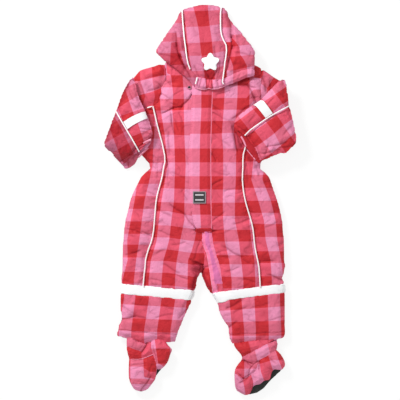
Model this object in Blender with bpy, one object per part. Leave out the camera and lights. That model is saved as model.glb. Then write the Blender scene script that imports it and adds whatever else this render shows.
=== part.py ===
"""A baby's padded snowsuit, laid on its back with the hood up, sleeves folded in and booties on.

+X is towards the wearer's left and +Y towards the head. Each seam and cut edge is a named line in
millimetres. Each cut piece is a padded panel stretched between four of those lines. Its height
comes from the layer it lies on, the roll of its outer edges, the dip along its seams and its folds.
"""

import math

import bmesh
import bpy
import numpy as np

MM = 0.001
SEAM_GAP = 0.3
MIDDLE = (0.0, 0.2, 0.0)

# Layers of the flat suit, as heights above the surface that it lies on.
BACK_TOP = 10.7
FRONT_FLOOR = 11.0
FRONT_TOP = 24.0
OVERLAY_FLOOR = 24.3
FLAP_THICKNESS = 3.2
HOOD_CROWN_FLOOR = 9.3
HOOD_BRIM_FLOOR = 27.9
HOOD_PADDING = 12.0
FOREARM_UNDER = 9.0
FOREARM_OVER = 11.0
BOOTIE_UNDER = 12.0
BOOTIE_TOP = 27.0

# How a padded edge and a seam are shaped.
EDGE_WALL = 1.5
BODY_ROLL = 16.0
HEM_ROLL = 9.0
UNDERSIDE_ROLL = 9.0
SEAM_DIP = 0.30
SEAM_WIDTH = 8.0
PIPING_RADIUS = 1.6
TAPE_THICKNESS = 0.8

# Seam lines and cut edges, each as the points (x, y) that a smooth line passes.
LINES = {
    "neck_right": ((-78, 309), (8, 300)),
    "neck_left": ((15, 300), (90, 301), (119, 302), (136, 294)),
    "armhole_right": ((-78, 309), (-77, 290), (-77, 272), (-83, 258), (-87, 246), (-89, 231),
                      (-94, 219), (-105.5, 210)),
    "armhole_left": ((136, 294), (136, 259), (136, 230), (133, 212)),
    "underarm_right": ((-105.5, 210), (-126, 204)),
    "underarm_left": ((133, 212), (153, 206)),
    "zip_right": ((8, 300), (8, -66)),
    "zip_left": ((15, 300), (15, -66)),
    # The crotch and the legs' inner edges, down to the hems.
    "crotch_fold": ((2, -70), (4, -92), (9, -115), (10, -135), (8, -151), (2, -162)),
    "inner_right": ((2, -162), (-4, -169), (-8, -179), (-11, -191), (-14, -203)),
    "inner_left": ((2, -162), (7, -173), (13, -190), (25, -209)),
    "gusset_seam": ((27, -70), (29, -94), (35, -117), (42, -140), (47, -162), (52, -205.6)),
    "band_in_right": ((-14, -203), (-16, -214), (-19, -224)),
    "band_in_left": ((25, -209), (32, -219), (39, -230)),
    "band_out_right": ((-176, -188), (-178, -209)),
    "band_out_left": ((190, -188), (191, -211)),
    "shin_in_right": ((-19, -224), (-31, -251), (-45, -283), (-51, -299), (-55, -316)),
    "shin_in_left": ((39, -230), (46, -255), (55, -271), (64, -285), (65, -299), (70, -321)),
    "shin_out_right": ((-178, -209), (-178, -227), (-177, -245), (-175, -265), (-180, -279),
                       (-184, -292), (-185, -304)),
    "shin_out_left": ((191, -211), (189, -232), (189, -274), (191, -292), (190, -307)),
    "hem_right": ((-185, -304), (-174, -307), (-158, -311), (-142, -317), (-128, -321),
                  (-117, -319), (-104, -317), (-83, -317), (-71, -319), (-55, -316)),
    "hem_left": ((70, -321), (90, -321), (112, -319), (140, -317), (158, -315), (176, -311),
                 (190, -307)),
    "hem_stitch_right": ((-182, -289), (-151, -293), (-117, -295), (-83, -297), (-52, -300)),
    "hem_stitch_left": ((66, -300), (97, -299), (129, -298), (158, -296), (189, -293)),
    # The flap over the zip.
    "flap_right": ((-17, 270), (-18, 251), (-20, 220), (-21, 164), (-26, 112), (-25, 79),
                   (-25, 45), (-22, -7), (-15, -50), (-9, -65)),
    "flap_left": ((30, 270), (28, 243), (26, 191), (25, 148), (24, 92), (25, 45), (25, -11),
                  (26, -65)),
    # The hood, from the fold at its crown to its brim.
    "hood_crown": ((-40, 427), (-27, 430), (-11, 434), (4, 437), (27, 436), (48, 433)),
    "hood_seam_right": ((-40, 427), (-39, 405), (-37, 382), (-35, 360), (-32, 338), (-29, 315),
                        (-22, 292), (-6, 274)),
    "hood_seam_left": ((48, 433), (46, 418), (46, 387), (48, 369), (54, 354), (59, 344),
                       (59, 328), (56, 310), (54, 292), (51, 270)),
    "hood_tip_right": ((-46, 421), (-40, 427)),
    "hood_tip_left": ((48, 433), (54, 431)),
    "brim_top": ((-6, 274), (11, 271), (25, 268), (38, 269), (51, 270)),
    "brim_right": ((-6, 274), (-9, 263), (-13, 252)),
    "brim_left": ((51, 270), (50, 263), (56, 254)),
    "brim_edge": ((-13, 252), (-1, 247), (14, 246), (20, 249), (27, 246), (40, 248), (56, 254)),
    "hood_out_right": ((-46, 421), (-48, 411), (-55, 398), (-68, 380), (-79, 364), (-90, 347),
                       (-98, 336), (-99, 330)),
    "hood_low_right": ((-99, 330), (-90, 322), (-78, 311), (-63, 301), (-53, 292), (-40, 282),
                       (-29, 273), (-20, 264)),
    "hood_end_right": ((-20, 264), (-13, 252)),
    "hood_out_left": ((54, 431), (60, 423), (62, 414), (66, 404), (76, 392), (90, 377),
                      (102, 361), (114, 346), (122, 334), (123, 328), (122, 315), (121, 294)),
    "hood_low_left": ((51, 270), (63, 275), (72, 281), (86, 287), (101, 292), (121, 294)),
    "hood_band_end": ((121, 294), (121, 277)),
    "hood_band_edge": ((56, 254), (63, 257), (72, 261), (83, 265), (98, 272), (106, 275),
                       (121, 277)),
    "hood_back_top": ((-42, 421), (4, 431), (53, 426)),
    "hood_back_right": ((-42, 421), (-51, 394), (-74, 364), (-93, 334), (-90, 327), (-74, 312)),
    "hood_back_left": ((53, 426), (63, 399), (88, 372), (117, 333), (117, 320), (117, 304)),
    "hood_back_low": ((-74, 312), (11, 302), (117, 304)),
    # The upper arms, from the shoulders to the elbows that the forearms fold over.
    "sleeve_top_right": ((-135, 289), (-124, 294), (-109, 299), (-94, 302), (-78, 304)),
    "sleeve_outer_right": ((-135, 289), (-142, 282), (-146, 272), (-158, 263), (-165, 248),
                           (-177, 223), (-186, 197), (-198, 164), (-209, 133)),
    "sleeve_under_right": ((-209, 133), (-196, 121), (-178, 120), (-155, 140), (-140, 171),
                           (-126, 204)),
    "sleeve_top_left": ((136, 294), (150, 285), (162, 276), (174, 269)),
    "sleeve_outer_left": ((174, 269), (187, 261), (194, 236), (196, 212), (202, 187),
                          (208, 160), (212, 138)),
    "sleeve_under_left": ((160, 109), (178, 111), (196, 118), (212, 138)),
    "sleeve_inner_left": ((153, 206), (161, 191), (162, 162), (162, 135), (160, 109)),
    # The forearms, from the fold at the elbow to the cuff.
    "elbow_low_right": ((-187, 197), (-195, 180), (-202, 158), (-211, 138), (-216, 122)),
    "elbow_high_right": ((-149, 275), (-156, 269), (-168, 248), (-178, 225), (-187, 197)),
    "forearm_outer_right": ((-216, 122), (-208, 113), (-200, 108), (-187, 92), (-174, 79)),
    "forearm_inner_right": ((-149, 275), (-144, 259), (-142, 243), (-135, 224), (-125, 204),
                            (-117, 184), (-111, 168), (-107, 151), (-106, 133)),
    "sleeve_seam_right": ((-187, 197), (-177, 179), (-166, 160), (-154, 140), (-136, 108)),
    "cuff_outer_right": ((-136, 108), (-155, 94), (-174, 79)),
    "cuff_inner_right": ((-106, 133), (-124, 120), (-136, 108)),
    "cuff_under_right": ((-110, 127), (-127, 106), (-138, 93), (-150, 77), (-167, 69)),
    "elbow_low_left": ((199, 210), (204, 191), (209, 169), (214, 146), (216, 135), (215, 126)),
    "elbow_high_left": ((183, 270), (190, 267), (194, 248), (197, 225), (199, 210)),
    "forearm_outer_left": ((215, 126), (204, 117), (192, 110), (176, 104), (153, 94), (134, 86)),
    "forearm_inner_left": ((183, 270), (173, 263), (162, 252), (148, 236), (135, 223),
                           (117, 211), (99, 198), (83, 185), (75, 173), (73, 163)),
    "sleeve_seam_left": ((199, 210), (180, 200), (162, 190), (146, 180), (130, 169), (112, 156),
                         (100, 144)),
    "cuff_outer_left": ((100, 144), (112, 130), (123, 116), (130, 99), (134, 86)),
    "cuff_inner_left": ((73, 163), (86, 154), (100, 144)),
    "cuff_under_left": ((76, 159), (83, 147), (92, 133), (102, 119), (112, 105), (124, 89),
                        (133, 81)),
    # The right bootie, its toe straight down.
    "ankle_top_right": ((-163, -310.2), (-153, -313.2), (-142, -317.5), (-129, -321.5),
                        (-116, -319.4)),
    "instep_top_right": ((-116, -319.4), (-110, -318.6)),
    "heel_top_right": ((-110, -318.6), (-104, -317.6), (-92, -317.6), (-82, -317.7)),
    "cuff_side_right": ((-163, -310.2), (-164, -327)),
    "cuff_fold_right": ((-116, -319.4), (-129, -340)),
    "cuff_low_right": ((-164, -327), (-151, -332), (-140, -337), (-129, -340)),
    "instep_side_right": ((-164, -327), (-162, -340), (-158, -356)),
    "instep_seam_right": ((-110, -318.6), (-108, -333), (-104, -346)),
    "toe_seam_right": ((-158, -356), (-144, -358), (-133, -357), (-122, -353), (-104, -346)),
    "toe_side_right": ((-158, -356), (-159, -382), (-158, -400), (-154, -412), (-147, -424)),
    "toe_tip_right": ((-147, -424), (-133, -428), (-119, -424), (-108, -411)),
    "heel_seam_right": ((-104, -346), (-100, -362), (-97, -374), (-97, -380)),
    "toe_edge_right": ((-97, -380), (-99, -392), (-101, -401), (-108, -411)),
    "heel_side_right": ((-82, -317.7), (-72, -326), (-63, -336), (-67, -344), (-72, -361)),
    "heel_low_right": ((-97, -380), (-90, -379), (-82, -374), (-72, -361)),
    "sole_inner_right": ((-90, -318.6), (-82, -338), (-88, -356), (-99, -371), (-110, -389),
                         (-120, -406), (-131, -425)),
    "sole_outer_right": ((-83, -319), (-66, -337), (-73, -361), (-85, -377), (-98, -393),
                         (-108, -410), (-121, -423)),
    # The left bootie, its toe turned outwards.
    "ankle_top_left": ((75, -321.6), (90, -321.6), (112, -319.6), (140, -317.6), (158, -315.6),
                       (170, -313.1)),
    "ankle_side_left": ((75, -321.6), (82, -334), (89, -341), (96, -351)),
    "ankle_end_left": ((170, -313.1), (170.6, -315.4)),
    "strap_top_left": ((96, -351), (119, -339), (133, -333), (144, -326), (170.6, -315.4)),
    "strap_start_left": ((96, -351), (97, -355)),
    "strap_end_left": ((170.6, -315.4), (173, -323), (171, -335)),
    "strap_low_left": ((97, -355), (105, -360), (112, -363), (119, -363), (129, -359),
                       (140, -354), (151, -348), (171, -335)),
    "instep_top_left": ((96, -358), (105, -361), (112, -364), (119, -364), (129, -360)),
    "instep_side_left": ((96, -358), (88, -366), (81, -376), (78, -386)),
    "instep_fold_left": ((78, -386), (88, -394), (97, -399), (106, -396), (115, -390)),
    "heel_fold_left": ((129, -360), (127, -372), (122, -382), (115, -390)),
    "toe_side_left": ((78, -386), (78, -398), (79, -412), (81, -425)),
    "toe_tip_left": ((81, -425), (92, -432), (103, -437), (110, -435), (119, -424)),
    "toe_seam_left": ((115, -390), (118, -405), (119, -424)),
    "heel_top_left": ((129, -360), (140, -355), (151, -349), (171, -336)),
    "heel_side_left": ((171, -336), (180, -346), (187, -358), (190, -370), (183, -380)),
    "sole_line_left": ((119, -424), (128, -418), (140, -411), (148, -407), (158, -403),
                       (162, -393), (167, -382), (183, -380)),
    "sole_inner_left": ((170, -337), (164, -357), (155, -374), (145, -389), (133, -403),
                        (120, -416), (105, -433)),
    "sole_outer_left": ((173, -339), (181, -348), (187, -358), (189, -370), (183, -381),
                        (170, -392), (159, -403), (146, -418), (137, -428), (124, -433),
                        (111, -436)),
}

# Sections across the body: the outer edges and side seams at each height.
BODY_SECTIONS = (
    # y, outer_right, seam_right, seam_left, outer_left
    (212, -126, -106, 133, 153),
    (204, -126, -104, 131, 153),
    (191, -130, -101, 128, 156),
    (169, -133, -96, 121, 158),
    (146, -135, -90, 113, 159),
    (124, -135, -84, 104, 156),
    (108, -134, -81, 98, 150),
    (99, -130, -79, 97, 143),
    (88, -117, -78, 96, 136),
    (76, -110, -81, 96, 135),
    (68, -112, -82, 96, 135),
    (56, -128, -84, 95, 151),
    (43, -135, -87, 95, 157),
    (22, -146, -93, 97, 164),
    (0, -155, -98, 101, 172),
    (-22, -160, -100, 107, 178),
    (-45, -166, -102, 114, 183),
    (-68, -169, -104, 119, 185),
    (-90, -171, -108, 121, 187),
    (-112, -172, -116, 124, 188),
    (-135, -173, -122, 129, 188),
    (-151, -173, -123, 132, 190),
    (-166, -174, -125, 133, 186),
    (-177, -175, -126, 134, 183),
    (-188, -176, -127, 134, 190),
    (-198, -177, -128, 135, 190),
)
SECTION_COLUMNS = ("outer_right", "seam_right", "seam_left", "outer_left")
BODY_ENDS = (
    # column, top y, bottom y: the sections' lines run from the underarm to the knee band
    ("outer_right", 204, -188),
    ("seam_right", 210, -192.5),
    ("seam_left", 212, -195),
    ("outer_left", 206, -188),
)

# Folds and gathers pressed into the padding: from (x0, y0) to (x1, y1), depth and half width.
SUIT_FOLDS = (
    # x0, y0, x1, y1, depth, width
    (-83, 195, -61, 206, 3.0, 6),
    (-61, 206, -41, 208, 3.6, 6),
    (-41, 208, -18, 235, 3.0, 6),
    (-66, 194, -63, 173, 2.4, 6),
    (-63, 173, -57, 152, 2.0, 6),
    (-76, 292, -77, 272, 4.0, 6),
    (-76, 268, -62, 256, 2.6, 6),
    (-71, 148, -69, 108, 2.0, 6),
    (-72, 90, -72, 48, 2.0, 6),
    (-104, 95, -106, 60, 2.6, 4),
    (-94, 92, -96, 52, 2.6, 4),
    (-113, 84, -115, 62, 2.0, 4),
    (-63, -13, -34, -34, 3.4, 7),
    (-34, -34, -9, -65, 3.0, 7),
    (-158, -65, -133, -74, 2.2, 6),
    (-128, -72, -112, -79, 2.0, 6),
    (-162, -122, -137, -115, 2.6, 6),
    (-77, -146, -50, -162, 2.4, 6),
    (-54, -166, -29, -178, 2.0, 6),
    (-8, -140, 8, -149, 5.0, 7),
    (108, 255, 122, 229, 3.0, 6),
    (122, 229, 127, 216, 2.4, 6),
    (73, 163, 84, 112, 3.0, 6),
    (104, 79, 108, 34, 2.8, 4),
    (113, 85, 118, 45, 2.6, 4),
    (124, 84, 131, 56, 2.0, 4),
    (80, -53, 104, -45, 2.4, 6),
    (104, -45, 126, -38, 2.0, 6),
    (57, -107, 89, -126, 2.6, 7),
    (89, -126, 108, -141, 2.2, 7),
    (140, -137, 162, -137, 2.2, 6),
    (158, -169, 182, -178, 3.0, 6),
    (36, -187, 43, -204, 3.0, 5),
    (-171, -266, -148, -261, 3.2, 6),
    (-148, -261, -124, -265, 2.2, 6),
    (-29, -245, -45, -261, 2.4, 6),
    (63, -241, 90, -227, 3.0, 6),
    (65, -284, 78, -276, 3.0, 6),
    (-112, 245, -90, 252, 2.6, 6),
    (-118, 274, -88, 279, 2.0, 7),
    (141, 272, 148, 246, 2.6, 6),
    (156, 262, 160, 244, 2.6, 6),
)
HOOD_FOLDS = (
    # x0, y0, x1, y1, depth, width
    (-56, 366, -50, 338, 3.0, 7),
    (-50, 338, -43, 320, 4.4, 7),
    (-43, 320, -26, 294, 4.6, 7),
    (68, 396, 70, 364, 2.6, 6),
    (70, 364, 73, 342, 4.6, 6),
    (66, 324, 61, 302, 2.6, 6),
    (36, 286, 26, 270, 3.0, 5),
    (12, 286, 24, 270, 3.0, 5),
    (14, 268, 15, 250, 2.4, 4),
    (27, 266, 28, 250, 2.4, 4),
    (38, 268, 40, 256, 1.8, 4),
    (2, 268, 0, 256, 1.6, 4),
    (-20, 290, -6, 274, 2.6, 6),
    (84, 330, 106, 324, 2.2, 7),
)
FOREARM_FOLDS = (
    # x0, y0, x1, y1, depth, width
    (-112, 139, -128, 124, 3.4, 6),
    (-146, 134, -134, 128, 2.4, 5),
    (-178, 90, -168, 86, 2.4, 5),
    (-160, 248, -150, 226, 2.0, 7),
    (-196, 150, -186, 132, 2.0, 7),
    (140, 130, 130, 112, 3.4, 6),
    (152, 122, 146, 104, 2.6, 6),
    (196, 120, 180, 116, 3.0, 5),
    (186, 232, 176, 240, 2.0, 6),
    (200, 160, 190, 150, 2.0, 7),
)
BOOTIE_FOLDS = (
    # x0, y0, x1, y1, depth, width
    (-112, -397, -131, -425, 3.6, 5),
    (-121, -326, -129, -341, 4.0, 5),
    (-150, -370, -128, -366, 2.0, 6),
    (92, -408, 104, -400, 3.0, 5),
    (132, -364, 133, -378, 3.0, 5),
    (100, -362, 112, -370, 3.0, 6),
    (158, -356, 166, -362, 2.4, 6),
)

# Row positions along a forearm, as fractions of its edges. The tape fills the row at TAPE_ROW.
FOREARM_ROWS_RIGHT = (
    # inner edge, sleeve seam
    (0, 0), (0.14, 0.07), (0.28, 0.14), (0.42, 0.20), (0.55, 0.27), (0.66, 0.45), (0.78, 0.63),
    (0.89, 0.82), (1, 1),
)
FOREARM_ROWS_LEFT = (
    # inner edge, sleeve seam
    (0, 0), (0.11, 0.085), (0.22, 0.17), (0.33, 0.25), (0.43, 0.33), (0.555, 0.49), (0.67, 0.62),
    (0.78, 0.75), (0.89, 0.87), (1, 1),
)
TAPE_ROW = 4

COLOURS = {
    # colour, roughness
    "check": ((0.62, 0.08, 0.14), 0.62),
    "check_back": ((0.50, 0.05, 0.10), 0.70),
    "tape": ((0.86, 0.88, 0.87), 0.30),
    "piping": ((0.90, 0.86, 0.87), 0.45),
    "gusset": ((0.72, 0.22, 0.42), 0.60),
    "sole": ((0.03, 0.035, 0.03), 0.75),
    "badge": ((0.10, 0.11, 0.11), 0.50),
    "zip": ((0.55, 0.08, 0.13), 0.45),
    "stud": ((0.60, 0.57, 0.58), 0.35),
}


# Lines and grids ------------------------------------------------------------------------------


def smooth(points, steps=12):
    """A dense line that passes smoothly through the points."""
    knots = np.array(points, float)
    ends = np.vstack([2 * knots[0] - knots[1], knots, 2 * knots[-1] - knots[-2]])
    t = np.linspace(0, 1, steps, endpoint=False)[:, None]
    pieces = []
    for a, b, c, d in zip(ends, ends[1:], ends[2:], ends[3:]):
        bend = (2 * a - 5 * b + 4 * c - d) * t**2 + (3 * b - a - 3 * c + d) * t**3
        pieces.append(b + 0.5 * ((c - a) * t + bend))
    return np.vstack(pieces + [knots[-1:]])


def section_line(column):
    """One column of the body sections as points, cut to the heights where its seam ends."""
    _, top, bottom = next(row for row in BODY_ENDS if row[0] == column)
    table = np.array(BODY_SECTIONS, float)
    values = table[:, 1 + SECTION_COLUMNS.index(column)]
    heights = [top] + [y for y in table[:, 0] if bottom + 4 < y < top - 4] + [bottom]
    places = np.interp([-y for y in heights], -table[:, 0], values)
    return tuple(zip(places, heights))


def line(name):
    """The dense line of a named seam or edge, reversed where the name starts with a minus."""
    if name.startswith("-"):
        return line(name[1:])[::-1]
    if name in SECTION_COLUMNS:
        return smooth(section_line(name))
    return smooth(LINES[name])


def at_fractions(dense, fractions):
    """Points at the given fractions of a dense line's length."""
    steps = np.linalg.norm(np.diff(dense, axis=0), axis=1)
    lengths = np.concatenate([[0], np.cumsum(steps)]) / steps.sum()
    return np.column_stack([np.interp(fractions, lengths, dense[:, i]) for i in (0, 1)])


def even(name, count):
    """A named line as count equal steps. Neighbours that ask for the same steps meet exactly."""
    return at_fractions(line(name), np.linspace(0, 1, count + 1))


def spread(count):
    """Fractions from 0 to 1, closer together near both ends, where a panel's edge rolls."""
    t = np.linspace(0, 1, count + 1)
    return 0.45 * t + 0.55 * (1 - np.cos(math.pi * t)) / 2


def across(name, count):
    return at_fractions(line(name), spread(count))


def join(*runs):
    """Runs of points end to end. A point that ends one run and starts the next is kept once."""
    joined = runs[0]
    for run in runs[1:]:
        shared = np.linalg.norm(joined[-1] - run[0]) < 0.01
        joined = np.vstack([joined, run[1:] if shared else run])
    return joined


def joined_line(*names):
    return join(*(line(name) for name in names))


def patch(left, right, top, bottom):
    """A grid of points between four edges. Left and right run down it, top and bottom across."""
    rows, columns = len(left), len(top)
    v = np.linspace(0, 1, rows)[:, None, None]
    u = spread(columns - 1)[None, :, None]
    sides = (1 - u) * left[:, None] + u * right[:, None]
    ends = (1 - v) * top[None] + v * bottom[None]
    corners = (
        (1 - u) * (1 - v) * top[0] + u * (1 - v) * top[-1]
        + (1 - u) * v * bottom[0] + u * v * bottom[-1]
    )
    return sides + ends - corners


def border(grid):
    """Indices of the grid's outer points, once round."""
    rows, columns = grid.shape[:2]
    loop = [(0, c) for c in range(columns)]
    loop += [(r, columns - 1) for r in range(1, rows)]
    loop += [(rows - 1, c) for c in range(columns - 2, -1, -1)]
    return loop + [(r, 0) for r in range(rows - 2, 0, -1)]


def drawn_in(grid, distance):
    """The grid with its outer points moved inwards, which leaves a gap to its neighbours."""
    loop = border(grid)
    ring = np.array([grid[place] for place in loop])
    ahead = np.roll(ring, -1, axis=0) - ring
    ahead /= np.linalg.norm(ahead, axis=1)[:, None]
    along = ahead + np.roll(ahead, 1, axis=0)
    along /= np.maximum(np.linalg.norm(along, axis=1), 1e-6)[:, None]
    normal = np.column_stack([-along[:, 1], along[:, 0]])
    following = np.roll(ring, -1, axis=0)
    turn = np.sign(np.sum(ring[:, 0] * following[:, 1] - ring[:, 1] * following[:, 0]))
    moved = grid.copy()
    for place, point in zip(loop, ring + normal * turn * distance):
        moved[place] = point
    return moved


def distance_to(points, dense):
    """Distance in millimetres from each point to a dense line."""
    start, step = dense[:-1], np.diff(dense, axis=0)
    length = np.maximum((step**2).sum(axis=1), 1e-9)
    offset = points[:, None] - start[None]
    t = np.clip((offset * step).sum(axis=2) / length, 0, 1)
    return np.sqrt(((offset - t[..., None] * step) ** 2).sum(axis=2)).min(axis=1)


# Heights --------------------------------------------------------------------------------------


def ease(t):
    t = np.clip(t, 0, 1)
    return t * t * (3 - 2 * t)


def quarter_round(distance, radius):
    k = np.clip(distance / radius, 0, 1)
    return np.sqrt(1 - (1 - k) ** 2)


def fullness(points, rolls, seams):
    """How full the padding is, from 0 at an outer edge to 1. Rolls and seams are line names."""
    full = np.ones(len(points))
    for name, radius in rolls:
        full *= quarter_round(distance_to(points, line(name)), radius)
    dip = np.zeros(len(points))
    for name, share, width in seams:
        near = np.exp(-((distance_to(points, line(name)) / width) ** 2))
        dip = np.maximum(dip, share * near)
    return full * (1 - dip)


def fold_depth(points, folds):
    """How deep the folds press into the padding at each point."""
    depth = np.zeros(len(points))
    for x0, y0, x1, y1, deep, width in folds:
        away = distance_to(points, np.array([(x0, y0), (x1, y1)], float))
        depth += deep * np.exp(-((away / width) ** 2))
    return np.minimum(depth, 5.5)


def padded_top(points, floor, thickness, rolls, seams, folds):
    """Height of a padded surface that starts at floor."""
    full = fullness(points, rolls, seams)
    rise = EDGE_WALL + (thickness - EDGE_WALL) * full
    return floor + np.maximum(rise - fold_depth(points, folds) * full, EDGE_WALL)


def rolled_floor(points, floor, rolls, radius=UNDERSIDE_ROLL):
    """Underside that lies flat and turns up at the outer edges."""
    near = np.ones(len(points))
    for name in rolls:
        near *= quarter_round(distance_to(points, line(name)), radius)
    return floor + (radius - EDGE_WALL) * (1 - near)


SUIT_ROLLS = (
    # line, radius of the roll
    ("sleeve_top_right", BODY_ROLL), ("sleeve_outer_right", BODY_ROLL),
    ("sleeve_under_right", BODY_ROLL), ("sleeve_top_left", BODY_ROLL),
    ("sleeve_outer_left", BODY_ROLL), ("sleeve_under_left", BODY_ROLL),
    ("sleeve_inner_left", BODY_ROLL),
    ("outer_right", BODY_ROLL), ("outer_left", BODY_ROLL),
    ("band_out_right", BODY_ROLL), ("band_out_left", BODY_ROLL),
    ("shin_out_right", BODY_ROLL), ("shin_out_left", BODY_ROLL),
    ("inner_right", 12), ("inner_left", 12), ("band_in_right", 12), ("band_in_left", 12),
    ("shin_in_right", 12), ("shin_in_left", 12),
    ("hem_right", HEM_ROLL), ("hem_left", HEM_ROLL),
)
SUIT_SEAMS = (
    # line, share of the padding that it pulls in, half width
    ("armhole_right", SEAM_DIP, SEAM_WIDTH), ("armhole_left", SEAM_DIP, SEAM_WIDTH),
    ("underarm_right", SEAM_DIP, SEAM_WIDTH), ("underarm_left", SEAM_DIP, SEAM_WIDTH),
    ("seam_right", SEAM_DIP, SEAM_WIDTH), ("seam_left", SEAM_DIP, SEAM_WIDTH),
    ("gusset_seam", SEAM_DIP, SEAM_WIDTH), ("crotch_fold", 0.55, 10),
    ("hem_stitch_right", 0.22, 6), ("hem_stitch_left", 0.22, 6),
)
BODY_OUTLINE = ("outer_right", "outer_left", "band_out_right", "band_out_left",
                "shin_out_right", "shin_out_left", "inner_right", "inner_left",
                "band_in_right", "band_in_left", "shin_in_right", "shin_in_left")
HOOD_OUTLINE = ("hood_crown", "hood_tip_right", "hood_tip_left", "hood_out_right",
                "hood_out_left")


def suit_top(points):
    """Top of the body and of the upper arms, which meet at one height along each seam."""
    return padded_top(points, FRONT_FLOOR, FRONT_TOP - FRONT_FLOOR, SUIT_ROLLS, SUIT_SEAMS,
                      SUIT_FOLDS)


def hood_floor(points):
    """The hood's upper layer climbs from the crown over its own back and the neck."""
    climb = ease((418 - points[:, 1]) / (418 - 310))
    return HOOD_CROWN_FLOOR + (HOOD_BRIM_FLOOR - HOOD_CROWN_FLOOR) * climb


def hood_top(points):
    rolls = [(name, 14) for name in HOOD_OUTLINE]
    rolls += [("hood_low_right", 10), ("hood_end_right", 10), ("brim_edge", 8), ("hood_band_edge", 8),
              ("hood_band_end", 8)]
    seams = [("hood_seam_right", SEAM_DIP, SEAM_WIDTH), ("hood_seam_left", SEAM_DIP, SEAM_WIDTH),
             ("brim_top", SEAM_DIP, 6), ("hood_low_left", SEAM_DIP, 6),
             ("brim_right", SEAM_DIP, 6), ("brim_left", SEAM_DIP, 6)]
    return padded_top(points, hood_floor(points), HOOD_PADDING, rolls, seams, HOOD_FOLDS)


FOREARM_DROP_START = np.array((-216.0, 135.0))
FOREARM_DROP_WAY = np.array((-0.309, -0.951))
FOREARM_DROP_LENGTH = 34


def forearm_floor(points, side):
    """The right forearm comes down to the surface past the upper arm. The left one stays up."""
    if side == "left":
        return np.full(len(points), OVERLAY_FLOOR)
    drop = ((points - FOREARM_DROP_START) @ FOREARM_DROP_WAY) / FOREARM_DROP_LENGTH
    return OVERLAY_FLOOR * (1 - ease(drop))


def forearm_top(points, side):
    rolls = [(f"{name}_{side}", 15) for name in
             ("elbow_low", "elbow_high", "forearm_outer", "forearm_inner")]
    rolls += [(f"cuff_inner_{side}", 8), (f"cuff_outer_{side}", 8)]
    seams = [(f"sleeve_seam_{side}", SEAM_DIP, SEAM_WIDTH)]
    floor = forearm_floor(points, side) + FOREARM_UNDER + SEAM_GAP
    return padded_top(points, floor, FOREARM_OVER, rolls, seams, FOREARM_FOLDS)


def bootie_top(points, side):
    outline = {
        "right": ("cuff_side", "instep_side", "toe_side", "toe_tip", "toe_edge", "heel_side",
                  "heel_low", "ankle_top", "heel_top"),
        "left": ("ankle_top", "ankle_side", "strap_end", "instep_side", "toe_side", "toe_tip",
                 "sole_line", "heel_side"),
    }[side]
    inside = {
        "right": ("cuff_low", "cuff_fold", "instep_seam", "toe_seam", "heel_seam"),
        "left": ("strap_top", "strap_low", "instep_fold", "heel_fold", "toe_seam"),
    }[side]
    rolls = [(f"{name}_{side}", 13) for name in outline]
    seams = [(f"{name}_{side}", 0.38, 6) for name in inside]
    floor = BOOTIE_UNDER + SEAM_GAP
    return padded_top(points, floor, BOOTIE_TOP - floor, rolls, seams, BOOTIE_FOLDS)


# Solids ---------------------------------------------------------------------------------------


def material(name):
    found = bpy.data.materials.get(name)
    if found:
        return found
    colour, roughness = COLOURS[name]
    made = bpy.data.materials.new(name)
    made.use_nodes = True
    shader = made.node_tree.nodes["Principled BSDF"]
    shader.inputs["Base Color"].default_value = (*colour, 1)
    shader.inputs["Roughness"].default_value = roughness
    made.diffuse_color = (*colour, 1)
    return made


def add_object(name, points, faces, finish):
    """One closed piece from points in millimetres."""
    mesh = bpy.data.meshes.new(name)
    mesh.from_pydata([tuple((point - MIDDLE) * MM) for point in points], [], faces)
    shape = bmesh.new()
    shape.from_mesh(mesh)
    bmesh.ops.recalc_face_normals(shape, faces=shape.faces)
    shape.to_mesh(mesh)
    shape.free()
    mesh.shade_smooth()
    mesh.set_sharp_from_angle(angle=math.radians(50))
    mesh.materials.append(material(finish))
    made = bpy.data.objects.new(name, mesh)
    bpy.context.scene.collection.objects.link(made)
    return made


def slab(name, grid, low, high, finish):
    """A closed solid between two heights over a grid of plan points."""
    rows, columns = grid.shape[:2]
    plan = grid.reshape(-1, 2)
    points = np.vstack([np.column_stack([plan, high]), np.column_stack([plan, low])])
    under = rows * columns
    faces = []
    for r in range(rows - 1):
        for c in range(columns - 1):
            a = r * columns + c
            quad = (a, a + 1, a + columns + 1, a + columns)
            faces.append(quad)
            faces.append(tuple(index + under for index in reversed(quad)))
    loop = [r * columns + c for r, c in border(grid)]
    for a, b in zip(loop, loop[1:] + loop[:1]):
        faces.append((b, a, a + under, b + under))
    return add_object(name, points, faces, finish)


def panel(name, edges, low, high, finish="check", gap=SEAM_GAP / 2):
    """A padded panel: four edges, and the heights of its underside and top as functions."""
    grid = drawn_in(patch(*edges), gap)
    plan = grid.reshape(-1, 2)
    slab(name, grid, low(plan), high(plan), finish)
    return grid


def flat(height):
    return lambda points: np.full(len(points), float(height))


def piping(name, runs, top, clear=0.35, radius=PIPING_RADIUS, sides=6):
    """A cord sewn along a seam, lying in the dip of the panels that it joins."""
    plan = join(*runs)
    centre = np.column_stack([plan, top(plan) + clear + radius])
    ahead = np.gradient(centre, axis=0)
    ahead /= np.linalg.norm(ahead, axis=1)[:, None]
    beside = np.cross(ahead, (0, 0, 1))
    beside /= np.linalg.norm(beside, axis=1)[:, None]
    above = np.cross(beside, ahead)
    points, faces = [], []
    for middle, side, up in zip(centre, beside, above):
        for i in range(sides):
            turn = 2 * math.pi * i / sides
            points.append(middle + radius * (math.cos(turn) * up + math.sin(turn) * side))
    for ring in range(len(centre) - 1):
        for i in range(sides):
            a, b = ring * sides + i, ring * sides + (i + 1) % sides
            faces.append((a, b, b + sides, a + sides))
    faces.append(tuple(range(sides)))
    faces.append(tuple(len(points) - sides + i for i in reversed(range(sides))))
    add_object(name, np.array(points), faces, "piping")


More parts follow.
